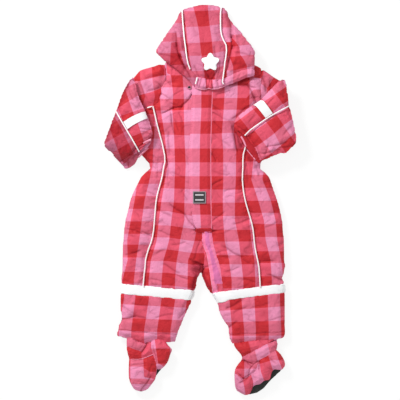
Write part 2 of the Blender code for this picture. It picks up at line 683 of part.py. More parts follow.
def on_panel(name, grid, top, rows, finish, short=0.0, lift=SEAM_GAP, thickness=TAPE_THICKNESS):
    """A strip on some rows of a panel, made from the panel's own points. It ends short of the
    panel's last edge by that distance."""
    strip = grid[rows[0]:rows[1] + 1].copy()
    height = top(strip.reshape(-1, 2)).reshape(strip.shape[:2])
    back = strip[:, -2] - strip[:, -1]
    share = short / np.linalg.norm(back, axis=1)
    strip[:, -1] += share[:, None] * back
    height[:, -1] += share * (height[:, -2] - height[:, -1])
    low = height.reshape(-1) + lift
    slab(name, strip, low, low + thickness, finish)


# The suit's pieces ----------------------------------------------------------------------------

ARMHOLE_STEPS = 7
SIDE_STEPS = 29
FRONT_COLUMNS = 10
SIDE_COLUMNS = 7
GUSSET_COLUMNS = 4
CROTCH_STEPS = 7
INNER_STEPS = 3
GUSSET_STEPS = CROTCH_STEPS + INNER_STEPS
ZIP_STEPS = 25
BAND_STEPS = 2
SHIN_STEPS = 8


def straight(start, end, fractions):
    start, end = np.array(start, float), np.array(end, float)
    return start + np.asarray(fractions)[:, None] * (end - start)


def end_of(name, place=-1):
    return line(name)[place]


def between(first, second, count):
    return straight(first, second, spread(count))


def make_fronts():
    """Front panels from the neck to the knee band, with the zip between them."""
    panel(
        "front_right",
        (
            join(even("armhole_right", ARMHOLE_STEPS), even("seam_right", SIDE_STEPS)),
            join(even("zip_right", ZIP_STEPS), even("crotch_fold", CROTCH_STEPS),
                 even("inner_right", INNER_STEPS)),
            across("neck_right", FRONT_COLUMNS),
            between(end_of("seam_right"), end_of("inner_right"), FRONT_COLUMNS),
        ),
        flat(FRONT_FLOOR), suit_top,
    )
    panel(
        "front_left",
        (
            join(even("zip_left", ZIP_STEPS), even("gusset_seam", GUSSET_STEPS)),
            join(even("armhole_left", ARMHOLE_STEPS), even("seam_left", SIDE_STEPS)),
            across("neck_left", FRONT_COLUMNS),
            between(end_of("gusset_seam"), end_of("seam_left"), FRONT_COLUMNS),
        ),
        flat(FRONT_FLOOR), suit_top,
    )
    zip_width = 6.0
    centre = (end_of("zip_right")[0] + end_of("zip_left")[0]) / 2
    plan = patch(
        straight((centre - zip_width / 2, 299), (centre - zip_width / 2, -65), (0, 1)),
        straight((centre + zip_width / 2, 299), (centre + zip_width / 2, -65), (0, 1)),
        straight((centre - zip_width / 2, 299), (centre + zip_width / 2, 299), (0, 1)),
        straight((centre - zip_width / 2, -65), (centre + zip_width / 2, -65), (0, 1)),
    )
    slab("zip", plan, np.full(4, FRONT_FLOOR), np.full(4, 21.5), "zip")


def make_sides():
    """Side panels under the arms, down the outside of each leg to the knee band."""
    panel(
        "side_right",
        (
            even("outer_right", SIDE_STEPS), even("seam_right", SIDE_STEPS),
            across("-underarm_right", SIDE_COLUMNS),
            between(end_of("outer_right"), end_of("seam_right"), SIDE_COLUMNS),
        ),
        flat(FRONT_FLOOR), suit_top,
    )
    panel(
        "side_left",
        (
            even("seam_left", SIDE_STEPS), even("outer_left", SIDE_STEPS),
            across("underarm_left", SIDE_COLUMNS),
            between(end_of("seam_left"), end_of("outer_left"), SIDE_COLUMNS),
        ),
        flat(FRONT_FLOOR), suit_top,
    )
    panel(
        "gusset_left",
        (
            join(even("crotch_fold", CROTCH_STEPS), even("inner_left", INNER_STEPS)),
            even("gusset_seam", GUSSET_STEPS),
            between(end_of("crotch_fold", 0), end_of("gusset_seam", 0), GUSSET_COLUMNS),
            between(end_of("inner_left"), end_of("gusset_seam"), GUSSET_COLUMNS),
        ),
        flat(FRONT_FLOOR), suit_top, "gusset",
    )


def make_lower_legs():
    """Reflective knee bands, and the shins down to the elasticated hems."""
    for side in ("right", "left"):
        names = ("out", "in") if side == "right" else ("in", "out")
        edges = [f"{{}}_{name}_{side}" for name in names]
        low_left, low_right = (end_of(edge.format("band")) for edge in edges)
        high_left, high_right = (end_of(edge.format("band"), 0) for edge in edges)
        panel(
            f"knee_band_{side}",
            (
                even(edges[0].format("band"), BAND_STEPS),
                even(edges[1].format("band"), BAND_STEPS),
                between(high_left, high_right, 12), between(low_left, low_right, 12),
            ),
            flat(FRONT_FLOOR), suit_top, "tape",
        )
        hem = across("hem_right" if side == "right" else "hem_left", 14)
        panel(
            f"shin_{side}",
            (
                even(edges[0].format("shin"), SHIN_STEPS),
                even(edges[1].format("shin"), SHIN_STEPS),
                between(low_left, low_right, 14), hem,
            ),
            flat(FRONT_FLOOR), suit_top,
        )


def make_backs():
    """The back lies flat on the surface, in two halves that meet down the centre."""
    def underside(points):
        return rolled_floor(points, 0, BODY_OUTLINE)

    centre_right = at_fractions(straight((11.5, 300), (11.5, -66), (0, 1)), np.linspace(0, 1, 27))
    leg_down = [("crotch_fold", CROTCH_STEPS), ("inner_{}", INNER_STEPS),
                ("band_in_{}", BAND_STEPS), ("shin_in_{}", SHIN_STEPS)]
    for side, underarm, flank in (("right", 5, 25), ("left", 2, 28)):
        outer_down = [("armhole_{}", ARMHOLE_STEPS), ("underarm_{}", underarm),
                      ("outer_{}", flank), ("band_out_{}", BAND_STEPS),
                      ("shin_out_{}", SHIN_STEPS)]
        inner = join(centre_right, *(even(name.format(side), n) for name, n in leg_down))
        outer = join(*(even(name.format(side), n) for name, n in outer_down))
        neck = straight(outer[0], inner[0], spread(9))
        hem = across(f"hem_{side}", 9)
        if side == "right":
            edges = (outer, inner, neck, hem)
        else:
            edges = (inner, outer, neck[::-1], hem)
        panel(f"back_{side}", edges, underside, flat(BACK_TOP), "check_back")


def make_flap():
    """The flap sewn down over the zip, its badge, and the stud that closes the neck."""
    thickness = FLAP_THICKNESS

    def top(points):
        full = fullness(points, [("flap_right", 4), ("flap_left", 4)], [])
        return OVERLAY_FLOOR + 1.2 + (thickness - 1.2) * full

    panel(
        "zip_flap",
        (
            even("flap_right", 24), even("flap_left", 24),
            between(end_of("flap_right", 0), end_of("flap_left", 0), 5),
            between(end_of("flap_right"), end_of("flap_left"), 5),
        ),
        flat(OVERLAY_FLOOR), top,
    )
    make_badge(OVERLAY_FLOOR + thickness + SEAM_GAP)
    make_stud()


BADGE_CENTRE = (-1.4, 5.8)
BADGE_SIZE = (29.0, 27.0)
BADGE_BORDER = 2.4
BADGE_BARS = (-5.6, 5.6)
BADGE_BAR_HALF = 1.6
BADGE_THICKNESS = 2.2
BADGE_RECESS = 0.8


def make_badge(floor):
    """A soft moulded badge: a raised border round a sunk field with two plain bars."""
    half_x, half_y = BADGE_SIZE[0] / 2, BADGE_SIZE[1] / 2
    inner_x, inner_y = half_x - BADGE_BORDER, half_y - BADGE_BORDER
    slope = 0.5
    xs = [-half_x, -inner_x - slope, -inner_x, -inner_x + 2.2, -inner_x + 2.2 + slope]
    xs += [-x for x in reversed(xs)]
    ys = [-half_y, -inner_y - slope, -inner_y]
    for bar in BADGE_BARS:
        for edge in (-BADGE_BAR_HALF - slope, -BADGE_BAR_HALF, BADGE_BAR_HALF,
                     BADGE_BAR_HALF + slope):
            ys.append(bar + edge)
    ys += [inner_y, inner_y + slope, half_y]
    bar_end = inner_x - 2.2 - slope / 2
    grid = np.array([[(x, y) for x in xs] for y in ys])
    x, y = np.abs(grid[..., 0]), grid[..., 1]
    raised = (x > inner_x + slope / 2) | (np.abs(y) > inner_y + slope / 2)
    for bar in BADGE_BARS:
        raised |= (np.abs(y - bar) <= BADGE_BAR_HALF) & (x <= bar_end)
    top = floor + BADGE_THICKNESS - np.where(raised, 0, BADGE_RECESS)
    plan = grid + np.array(BADGE_CENTRE)
    slab("badge", plan, np.full(top.size, floor), top.reshape(-1), "badge")


STUD_CENTRE = (-24.0, 254.0)
STUD_PROFILE = (
    # radius, height above the cloth
    (4.6, 0.3), (4.6, 1.1), (4.0, 1.7), (2.4, 1.9), (1.9, 1.2),
)


def make_stud():
    """The ring half of a press stud, dished in the middle."""
    centre = np.array(STUD_CENTRE)
    base = suit_top(centre[None])[0]
    sides = 14
    points, faces = [], []
    for radius, height in STUD_PROFILE:
        for i in range(sides):
            turn = 2 * math.pi * i / sides
            points.append((centre[0] + radius * math.cos(turn),
                           centre[1] + radius * math.sin(turn), base + height))
    for ring in range(len(STUD_PROFILE) - 1):
        for i in range(sides):
            a, b = ring * sides + i, ring * sides + (i + 1) % sides
            faces.append((a, b, b + sides, a + sides))
    faces.append(tuple(reversed(range(sides))))
    faces.append(tuple((len(STUD_PROFILE) - 1) * sides + i for i in range(sides)))
    add_object("press_stud", np.array(points), faces, "stud")


def make_hood():
    """Three panels over the hood's back, a gathered brim band and one hem band."""
    panel(
        "hood_centre",
        (
            even("hood_seam_right", 13), even("hood_seam_left", 13),
            across("hood_crown", 8), across("brim_top", 8),
        ),
        hood_floor, hood_top,
    )
    panel(
        "hood_brim",
        (
            even("brim_right", 3), even("brim_left", 3),
            across("brim_top", 8), across("brim_edge", 8),
        ),
        hood_floor, hood_top,
    )
    panel(
        "hood_side_right",
        (
            at_fractions(joined_line("hood_out_right", "hood_low_right"), np.linspace(0, 1, 17)),
            join(even("hood_seam_right", 13), even("brim_right", 3)),
            across("hood_tip_right", 8), across("hood_end_right", 8),
        ),
        hood_floor, hood_top,
    )
    panel(
        "hood_side_left",
        (
            even("hood_seam_left", 13), even("hood_out_left", 13),
            across("hood_tip_left", 7), across("hood_low_left", 7),
        ),
        hood_floor, hood_top,
    )
    panel(
        "hood_band_left",
        (
            even("brim_left", 3), even("hood_band_end", 3),
            across("hood_low_left", 7), across("hood_band_edge", 7),
        ),
        hood_floor, hood_top,
    )
    panel(
        "hood_back",
        (
            even("hood_back_right", 10), even("hood_back_left", 10),
            across("hood_back_top", 7), across("hood_back_low", 7),
        ),
        lambda points: rolled_floor(
            points, 0, ("hood_back_top", "hood_back_right", "hood_back_left"), 6),
        lambda points: hood_floor(points) - 0.8, "check_back",
    )
    piping("hood_piping_right", [even("hood_seam_right", 13)[:-2]], hood_top)
    piping("brim_piping_right", [even("brim_right", 3)[:-1]], hood_top)
    piping("hood_piping_left", [even("hood_seam_left", 13), even("brim_left", 3)[:-1]], hood_top)
    make_hood_motif()


MOTIF_CENTRE = (23.0, 308.0)
MOTIF_RADIUS = 17.5
MOTIF_WAVE = 0.20
MOTIF_PETALS = 5
MOTIF_STEPS = 30


def make_hood_motif():
    """A plain five-petalled reflective patch sewn to the hood's centre panel."""
    rings = (1.0, 0.62, 0.28)
    points, faces = [], []
    for layer in (0, 1):
        for ring in rings:
            turn = 2 * math.pi * np.arange(MOTIF_STEPS) / MOTIF_STEPS
            reach = MOTIF_RADIUS * (1 + MOTIF_WAVE * np.cos(MOTIF_PETALS * turn)) * ring
            plan = np.column_stack([-reach * np.sin(turn), reach * np.cos(turn)])
            plan += np.array(MOTIF_CENTRE)
            height = hood_top(plan) + 0.9 + layer * TAPE_THICKNESS * 1.5
            points.append(np.column_stack([plan, height]))
    points = np.vstack(points)
    count = len(rings) * MOTIF_STEPS
    for layer in (0, 1):
        for ring in range(len(rings) - 1):
            for i in range(MOTIF_STEPS):
                a = layer * count + ring * MOTIF_STEPS + i
                b = layer * count + ring * MOTIF_STEPS + (i + 1) % MOTIF_STEPS
                faces.append((a, b, b + MOTIF_STEPS, a + MOTIF_STEPS))
        last = layer * count + (len(rings) - 1) * MOTIF_STEPS
        faces.append(tuple(last + i for i in range(MOTIF_STEPS)))
    for i in range(MOTIF_STEPS):
        j = (i + 1) % MOTIF_STEPS
        faces.append((i, j, j + count, i + count))
    add_object("hood_motif", points, faces, "tape")


def make_upper_sleeves():
    """The upper arms, hidden past the shoulder by the forearms that fold over them."""
    def top(side):
        return lambda points: np.minimum(suit_top(points), forearm_floor(points, side) - 0.8)

    def underside(*rolls):
        return lambda points: rolled_floor(points, 0, rolls)

    panel(
        "upper_sleeve_right",
        (
            even("sleeve_outer_right", 12),
            join(even("armhole_right", ARMHOLE_STEPS), even("underarm_right", 5)),
            across("sleeve_top_right", 8), across("sleeve_under_right", 8),
        ),
        underside("sleeve_top_right", "sleeve_outer_right", "sleeve_under_right"), top("right"),
    )
    panel(
        "upper_sleeve_left",
        (
            join(even("armhole_left", ARMHOLE_STEPS), even("underarm_left", 2),
                 even("sleeve_inner_left", 6)),
            even("sleeve_outer_left", ARMHOLE_STEPS + 2 + 6),
            across("sleeve_top_left", 8), across("sleeve_under_left", 8),
        ),
        underside("sleeve_top_left", "sleeve_outer_left", "sleeve_under_left",
                  "sleeve_inner_left"), top("left"),
    )


def make_forearm(side, rows):
    """A forearm laid over: its two upper panels, the layer under them, piping and tape."""
    inner_at = [row[0] for row in rows]
    seam_at = [row[1] for row in rows]
    outer_at = np.linspace(0, 1, len(rows))

    def under_top(points):
        floor = forearm_floor(points, side)
        share = floor / OVERLAY_FLOOR
        return floor + FOREARM_UNDER - 0.3 - 18 * share * (1 - share)

    def over_floor(points):
        return forearm_floor(points, side) + FOREARM_UNDER + SEAM_GAP

    def over_top(points):
        return forearm_top(points, side)

    inner = at_fractions(line(f"forearm_inner_{side}"), inner_at)
    seam = at_fractions(line(f"sleeve_seam_{side}"), seam_at)
    outer = at_fractions(line(f"forearm_outer_{side}"), outer_at)
    grid = panel(
        f"forearm_inner_{side}",
        (inner, seam, across(f"elbow_high_{side}", 6), across(f"cuff_inner_{side}", 6)),
        over_floor, over_top,
    )
    panel(
        f"forearm_outer_{side}",
        (seam, outer, across(f"elbow_low_{side}", 6), across(f"cuff_outer_{side}", 6)),
        over_floor, over_top,
    )
    on_panel(f"sleeve_tape_{side}", grid, over_top, (TAPE_ROW, TAPE_ROW + 1), "tape",
             short=PIPING_RADIUS + 0.6)
    piping(f"sleeve_piping_{side}", [seam], over_top)

    mouth = line(f"cuff_under_{side}")
    left_edge = join(line(f"forearm_inner_{side}"), np.vstack([end_of(f"cuff_inner_{side}", 0),
                                                               mouth[0]]))
    right_edge = join(line(f"forearm_outer_{side}"), np.vstack([end_of(f"cuff_outer_{side}"),
                                                                mouth[-1]]))
    elbow = joined_line(f"elbow_high_{side}", f"elbow_low_{side}")
    steps = np.linspace(0, 1, 9)
    rolled = [f"{name}_{side}" for name in
              ("elbow_low", "elbow_high", "forearm_outer", "forearm_inner")]
    panel(
        f"forearm_under_{side}",
        (
            at_fractions(left_edge, steps), at_fractions(right_edge, steps),
            at_fractions(elbow, spread(9)), at_fractions(mouth, spread(9)),
        ),
        lambda points: np.minimum(
            rolled_floor(points, 0, rolled, 7) + forearm_floor(points, side),
            under_top(points) - EDGE_WALL),
        under_top, "check_back", gap=1.0,
    )


def make_side_pipings():
    """White piping down both side seams, and round the right underarm."""
    piping(
        "side_piping_right",
        [even("-underarm_right", 5)[2:], even("seam_right", SIDE_STEPS)], suit_top,
        clear=0.8,
    )
    piping("side_piping_left", [even("seam_left", SIDE_STEPS)], suit_top)


def make_bootie_right():
    def top(points):
        return bootie_top(points, "right")

    floor = flat(BOOTIE_UNDER + SEAM_GAP)
    panel(
        "bootie_cuff_right",
        (even("cuff_side_right", 3), even("cuff_fold_right", 3),
         across("ankle_top_right", 6), across("cuff_low_right", 6)),
        floor, top,
    )
    panel(
        "bootie_instep_right",
        (even("instep_side_right", 4), even("instep_seam_right", 4),
         join(across("cuff_low_right", 6), even("-cuff_fold_right", 1),
              even("instep_top_right", 1)),
         at_fractions(line("toe_seam_right"), spread(8))),
        floor, top,
    )
    panel(
        "bootie_toe_right",
        (even("toe_side_right", 7), join(even("heel_seam_right", 4), even("toe_edge_right", 3)),
         across("toe_seam_right", 8), across("toe_tip_right", 8)),
        floor, top,
    )
    panel(
        "bootie_heel_right",
        (join(even("instep_seam_right", 4), even("heel_seam_right", 4)),
         even("heel_side_right", 8), across("heel_top_right", 5), across("heel_low_right", 5)),
        floor, top,
    )
    outline = ("cuff_side_right", "instep_side_right", "toe_side_right")
    panel(
        "bootie_under_right",
        (
            join(even("cuff_side_right", 1), even("instep_side_right", 2),
                 even("toe_side_right", 5)),
            even("sole_inner_right", 8),
            at_fractions(join(line("ankle_top_right"), end_of("sole_inner_right", 0)[None]),
                         spread(6)),
            between(end_of("toe_side_right"), end_of("sole_inner_right"), 6),
        ),
        lambda points: rolled_floor(points, 0, outline, 7), flat(BOOTIE_UNDER), "check_back",
        gap=0.5,
    )
    panel(
        "bootie_sole_right",
        (even("sole_inner_right", 8), even("sole_outer_right", 8),
         between(end_of("sole_inner_right", 0), end_of("sole_outer_right", 0), 2),
         between(end_of("sole_inner_right"), end_of("sole_outer_right"), 2)),
        lambda points: rolled_floor(points, 0, ("sole_outer_right",), 4),
        flat(BOOTIE_UNDER), "sole",
    )


def make_bootie_left():
    def top(points):
        return bootie_top(points, "left")

    floor = flat(BOOTIE_UNDER + SEAM_GAP)
    panel(
        "bootie_ankle_left",
        (even("ankle_side_left", 4), even("ankle_end_left", 4),
         across("ankle_top_left", 8), across("strap_top_left", 8)),
        floor, top,
    )
    panel(
        "bootie_strap_left",
        (even("strap_start_left", 3), even("strap_end_left", 3),
         across("strap_top_left", 8), across("strap_low_left", 8)),
        floor, top,
    )
    panel(
        "bootie_instep_left",
        (even("instep_side_left", 5), even("heel_fold_left", 5),
         across("instep_top_left", 6), across("instep_fold_left", 6)),
        floor, top,
    )
    panel(
        "bootie_toe_left",
        (even("toe_side_left", 5), even("toe_seam_left", 5),
         across("instep_fold_left", 6), across("toe_tip_left", 6)),
        floor, top,
    )
    panel(
        "bootie_heel_left",
        (join(even("heel_fold_left", 5), even("toe_seam_left", 5)), even("heel_side_left", 10),
         across("heel_top_left", 8), across("sole_line_left", 8)),
        floor, top,
    )
    left_edge = joined_line("ankle_side_left", "instep_side_left", "toe_side_left")
    outline = ("ankle_side_left", "instep_side_left", "toe_side_left")
    panel(
        "bootie_under_left",
        (
            at_fractions(left_edge, np.linspace(0, 1, 13)),
            join(even("ankle_end_left", 1), even("strap_end_left", 2),
                 even("sole_inner_left", 8)),
            across("ankle_top_left", 6),
            between(end_of("toe_side_left"), end_of("sole_inner_left"), 6),
        ),
        lambda points: rolled_floor(points, 0, outline, 7), flat(BOOTIE_UNDER), "check_back",
        gap=0.5,
    )
    panel(
        "bootie_sole_left",
        (even("sole_inner_left", 8), even("sole_outer_left", 8),
         between(end_of("sole_inner_left", 0), end_of("sole_outer_left", 0), 3),
         between(end_of("sole_inner_left"), end_of("sole_outer_left"), 3)),
        lambda points: rolled_floor(points, 0, ("sole_outer_left",), 4),
        flat(BOOTIE_UNDER), "sole",
    )


def main():
    for old in list(bpy.data.objects):
        bpy.data.objects.remove(old)
    make_backs()
    make_fronts()
    make_sides()
    make_lower_legs()
    make_flap()
    make_side_pipings()
    make_upper_sleeves()
    make_forearm("right", FOREARM_ROWS_RIGHT)
    make_forearm("left", FOREARM_ROWS_LEFT)
    make_hood()
    make_bootie_right()
    make_bootie_left()


main()
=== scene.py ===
"""A baby's padded snowsuit in red and pink check, laid on its back with the hood up.

Lengths are in millimetres where a name ends in _MM, in the tables of folds, checks, ripples,
shifts and paths, and in what bindings, stitches and seams are given. Elsewhere they are in
metres. +X is towards the wearer's left, +Y towards the head and +Z up.
"""

import math

import bmesh
import bpy
import numpy as np
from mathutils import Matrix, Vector
from mathutils.bvhtree import BVHTree
from mathutils.kdtree import KDTree


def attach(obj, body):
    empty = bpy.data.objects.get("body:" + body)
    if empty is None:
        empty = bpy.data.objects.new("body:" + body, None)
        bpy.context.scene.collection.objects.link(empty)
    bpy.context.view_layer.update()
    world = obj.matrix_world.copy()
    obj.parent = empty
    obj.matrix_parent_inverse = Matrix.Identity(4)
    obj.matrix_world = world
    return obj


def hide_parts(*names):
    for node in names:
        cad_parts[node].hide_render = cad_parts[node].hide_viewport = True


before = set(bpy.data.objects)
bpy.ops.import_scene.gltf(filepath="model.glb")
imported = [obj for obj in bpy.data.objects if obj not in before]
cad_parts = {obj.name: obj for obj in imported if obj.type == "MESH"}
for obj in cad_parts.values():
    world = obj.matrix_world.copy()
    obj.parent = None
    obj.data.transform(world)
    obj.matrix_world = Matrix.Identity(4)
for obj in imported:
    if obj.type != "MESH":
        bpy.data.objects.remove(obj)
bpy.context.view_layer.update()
bpy.ops.object.select_all(action="DESELECT")


# Studio -------------------------------
# A white card under the suit, one large soft lamp at the upper left and a dimmer one opposite.
# The camera hangs straight above the middle of the suit.

CAMERA_HEIGHT = 9.0
CAMERA_SHIFT = 0.0002
FIELD_WIDTH = 0.8975
SENSOR_MM = 36.0
CARD_SIZE, CARD_DROP = 8, 0.0006
CARD_GREY, CARD_GLOW = 0.16, 0.86
AIR_GLOW = 0.60
WHITE = (1.0, 1.0, 1.0, 1)
LAMPS = (
    # name, place, width, power
    ("key_lamp", (-1.3, 1.6, 1.4), 0.7, 50),
    ("fill_lamp", (1.5, -0.9, 1.8), 1.6, 4),
)


def new_finish(name):
    """A new material with its node tree and its main shader."""
    made = bpy.data.materials.new(name)
    made.use_nodes = True
    return made, made.node_tree, made.node_tree.nodes["Principled BSDF"]


def feed(made, inputs):
    """Gives each named input of a node a plain value, or the socket that feeds it."""
    for key, value in inputs.items():
        if isinstance(value, bpy.types.NodeSocket):
            made.id_data.links.new(value, made.inputs[key])
        else:
            made.inputs[key].default_value = value


bpy.ops.mesh.primitive_plane_add(size=CARD_SIZE, location=(0, 0, -CARD_DROP))
card = bpy.context.active_object
card.name = "studio_card"
card_finish, _, card_shader = new_finish("white_card")
feed(card_shader, {
    "Base Color": (CARD_GREY, CARD_GREY, CARD_GREY, 1), "Roughness": 0.9,
    "Specular IOR Level": 0.0, "Emission Color": WHITE, "Emission Strength": CARD_GLOW,
})
card.data.materials.append(card_finish)

scene = bpy.context.scene
world = scene.world or bpy.data.worlds.new("studio_air")
scene.world = world
world.use_nodes = True
air = world.node_tree.nodes.get("Background") or world.node_tree.nodes.new("ShaderNodeBackground")
feed(air, {"Color": WHITE, "Strength": AIR_GLOW})

for name, place, width, power in LAMPS:
    bpy.ops.object.light_add(type="AREA", location=place)
    lamp = bpy.context.active_object
    lamp.name = name
    lamp.data.shape, lamp.data.size, lamp.data.energy = "DISK", width, power
    lamp.rotation_euler = Vector(place).to_track_quat("Z", "Y").to_euler()

bpy.ops.object.camera_add(location=(0, -CAMERA_SHIFT, CAMERA_HEIGHT), rotation=(0, 0, 0))
scene.camera = bpy.context.active_object
scene.camera.data.sensor_width = SENSOR_MM
scene.camera.data.lens = SENSOR_MM * CAMERA_HEIGHT / FIELD_WIDTH
scene.view_settings.view_transform = "Standard"


# Front panels ------------------------- Two padded panels of woven polyamide check, sewn in on
# either side of the zip. It follows the pull of the padding, so a chart gives where the stripes'
# edges lie on each piece.

STRIPE_MM = 27.5
SPARE_STRIPES = 12
CHECK_COLOURS = {
    # as linear RGB: the column's colour, then the row's
    "pink_pink": (0.85, 0.285, 0.468, 1),
    "pink_red": (0.76, 0.150, 0.242, 1),
    "red_pink": (0.775, 0.096, 0.158, 1),
    "red_red": (0.595, 0.029, 0.040, 1),
}
# the dark red that painted shade draws the check towards
PAINTED_SHADE_COLOUR = (0.26, 0.005, 0.016, 1)
DYE_BLUR = 0.09
CLOUD_LOW, CLOUD_HIGH, FADED = 0.3, 0.7, 0.93
THREADS_PER_STRIPE = 46
CHECK_SHINE, CHECK_ROUGHNESS, CHECK_CRINKLE = 0.12, 0.55, 0.7
CHECK_CRINKLE_DEPTH, CHECK_WEAVE, CHECK_WEAVE_DEPTH = 0.0035, 0.25, 0.00012


def node(tree, kind, inputs=None, **settings):
    """Adds a shader node with its settings and inputs."""
    made = tree.nodes.new(f"ShaderNode{kind}")
    for key, value in settings.items():
        setattr(made, key, value)
    feed(made, inputs or {})
    return made


def texture(tree, kind, **inputs):
    """The first output of a texture that lies still in the piece."""
    place = node(tree, "TexCoord").outputs["Object"]
    return node(tree, f"Tex{kind}", {"Vector": place, **inputs}).outputs[0]


def blend(tree, share, first, second, mode="MIX"):
    return node(tree, "Mix", {0: share, 6: first, 7: second}, data_type="RGBA",
                blend_type=mode).outputs[2]


def emboss(tree, shader, *reliefs):
    """Raises a finish by reliefs, one on another: each a height, its strength and its depth."""
    below = {}
    for height, strength, depth in reliefs:
        bump = node(tree, "Bump", {"Strength": strength, "Distance": depth, "Height": height,
                                   **below})
        below = {"Normal": bump.outputs[0]}
    feed(shader, below)


def check_cloth(name, colours):
    """Woven check whose stripes follow the UV map: a whole number of stripes to each unit."""
    made, tree, shader = new_finish(name)
    chart = node(tree, "UVMap", uv_map="check").outputs[0]
    split = node(tree, "SeparateXYZ", {0: chart})

    def wave(axis, angle):
        turn = node(tree, "Math", {0: split.outputs[axis], 1: angle}, operation="MULTIPLY")
        return node(tree, "Math", {0: turn.outputs[0]}, operation="SINE").outputs[0]

    red_column, red_row = (
        node(tree, "MapRange", {0: wave(axis, math.pi), 1: -DYE_BLUR, 2: DYE_BLUR},
             interpolation_type="SMOOTHSTEP").outputs[0] for axis in (0, 1))
    pinks = blend(tree, red_row, colours["pink_pink"], colours["pink_red"])
    reds = blend(tree, red_row, colours["red_pink"], colours["red_red"])
    dyed = blend(tree, red_column, pinks, reds)
    clouds = texture(tree, "Noise", Scale=34, Detail=3)
    tone = node(tree, "MapRange", {0: clouds, 1: CLOUD_LOW, 2: CLOUD_HIGH, 3: FADED, 4: 1.0})
    toned = blend(tree, 1.0, dyed, tone.outputs[0], "MULTIPLY")
    # painted shade: the shade attribute draws the check's colour towards a dark red
    shade = node(tree, "Attribute", attribute_name="shade").outputs["Fac"]
    feed(shader, {"Base Color": blend(tree, shade, toned, PAINTED_SHADE_COLOUR),
                  "Roughness": CHECK_ROUGHNESS, "Specular IOR Level": CHECK_SHINE})
    crumple = texture(tree, "Noise", Scale=62, Detail=4, Roughness=0.55, Distortion=0.9)
    across, along = (wave(axis, 2 * math.pi * THREADS_PER_STRIPE) for axis in (0, 1))
    weave = node(tree, "Math", {0: across, 1: along}, operation="MULTIPLY").outputs[0]
    emboss(tree, shader, (crumple, CHECK_CRINKLE, CHECK_CRINKLE_DEPTH),
           (weave, CHECK_WEAVE, CHECK_WEAVE_DEPTH))
    return made


check = check_cloth("check_cloth", CHECK_COLOURS)


def stripe_numbers(across, along, stations):
    """The stripe that each point lies in, and how far through it. A station is a place along the
    stripes, the number of its first edge, then the places of the stripes' edges there."""
    at = np.array([row[0] for row in stations], float)
    edges = np.array([row[2:] for row in stations], float)
    spare = STRIPE_MM * np.arange(1, SPARE_STRIPES + 1)
    edges = np.hstack([edges[:, :1] - spare[::-1], edges, edges[:, -1:] + spare])
    order = np.argsort(at)
    here = np.column_stack([np.interp(along, at[order], column[order]) for column in edges.T])
    index = np.clip((here <= across[:, None]).sum(axis=1) - 1, 0, here.shape[1] - 2)
    row = np.arange(len(across))
    start, end = here[row, index], here[row, index + 1]
    return stations[0][1] - SPARE_STRIPES + index + (across - start) / (end - start)


def stripes_at(plan, columns, rows, turned=None, crosswise=False):
    start, across_way, down_way = turned or ((0, 0), (1, 0), (0, -1))
    plan = plan - np.array(start, float)
    across, down = plan @ np.array(across_way, float), plan @ np.array(down_way, float)
    u = stripe_numbers(across, down, columns)
    v = stripe_numbers(down, across, rows)
    return np.column_stack([v, u] if crosswise else [u, v])


def chart_check(piece, columns, rows, turned=None, crosswise=False, beyond=None):
    """Columns and rows are stations in millimetres: x, and the distance below the middle of the
    suit. turned is a tilted piece's own start, its way across and its way down. Crosswise cloth
    has its rows where others have columns. beyond is a fold, as (x, distance down) from the top,
    with the columns and rows of the cloth on its -X side."""
    plan = coordinates(piece)[:, :2] * 1000
    corners = np.empty(len(piece.data.loops), np.int32)
    piece.data.loops.foreach_get("vertex_index", corners)
    chosen = stripes_at(plan, columns, rows, turned, crosswise)[corners]
    if beyond:
        fold, other_columns, other_rows = beyond
        fold_x, fold_down = np.array(fold, float).T
        centres = np.empty(len(piece.data.polygons) * 3)
        piece.data.polygons.foreach_get("center", centres)
        centres = centres.reshape(-1, 3) * 1000
        past = centres[:, 0] < np.interp(-centres[:, 1], fold_down, fold_x)
        sides = np.empty(len(piece.data.polygons), np.int32)
        piece.data.polygons.foreach_get("loop_total", sides)
        other = stripes_at(plan, other_columns, other_rows)[corners]
        chosen = np.where(np.repeat(past, sides)[:, None], other, chosen)
    layer = piece.data.uv_layers.new(name="check")
    layer.data.foreach_set("uv", chosen.reshape(-1))


def in_view(piece):
    """Makes one piece the active and only selected object."""
    bpy.ops.object.select_all(action="DESELECT")
    bpy.context.view_layer.objects.active = piece
    piece.select_set(True)


def add_modifier(piece, kind, **settings):
    """Adds a modifier and applies it at once."""
    made = piece.modifiers.new(kind.title(), kind)
    for key, value in settings.items():
        setattr(made, key, value)
    in_view(piece)
    bpy.ops.object.modifier_apply(modifier=made.name)


def copy_of(node_name, name):
    """A merged copy of a CAD solid, as a new piece that stands for it."""
    piece = bpy.data.objects.new(name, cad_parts[node_name].data.copy())
    bpy.context.scene.collection.objects.link(piece)
    piece.data.materials.clear()
    shape = bmesh.new()
    shape.from_mesh(piece.data)
    bmesh.ops.remove_doubles(shape, verts=shape.verts, dist=1e-6)
    shape.to_mesh(piece.data)
    shape.free()
    piece.data.shade_smooth()
    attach(piece, "root")
    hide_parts(node_name)
    return piece


def coordinates(piece):
    points = np.empty(len(piece.data.vertices) * 3)
    piece.data.vertices.foreach_get("co", points)
    return points.reshape(-1, 3)


def normals(piece):
    ways = np.empty(len(piece.data.vertices) * 3)
    piece.data.vertices.foreach_get("normal", ways)
    return ways.reshape(-1, 3)


def set_coordinates(piece, points):
    piece.data.vertices.foreach_set("co", points.reshape(-1))
    piece.data.update()


SINK_MM = 1.7
SPREAD_MM = 1.3
TOP_FROM, TOP_SPAN, HELD_UNDER = 0.25, 0.5, 0.5
LEVEL = 0.9
SWELL_FRAMES = 20
SWELL = dict(
    quality=4, mass=0.3, tension_stiffness=12, compression_stiffness=12, shear_stiffness=5,
    bending_stiffness=0.4, use_pressure=True, uniform_pressure_force=4.0,
)
pads = []


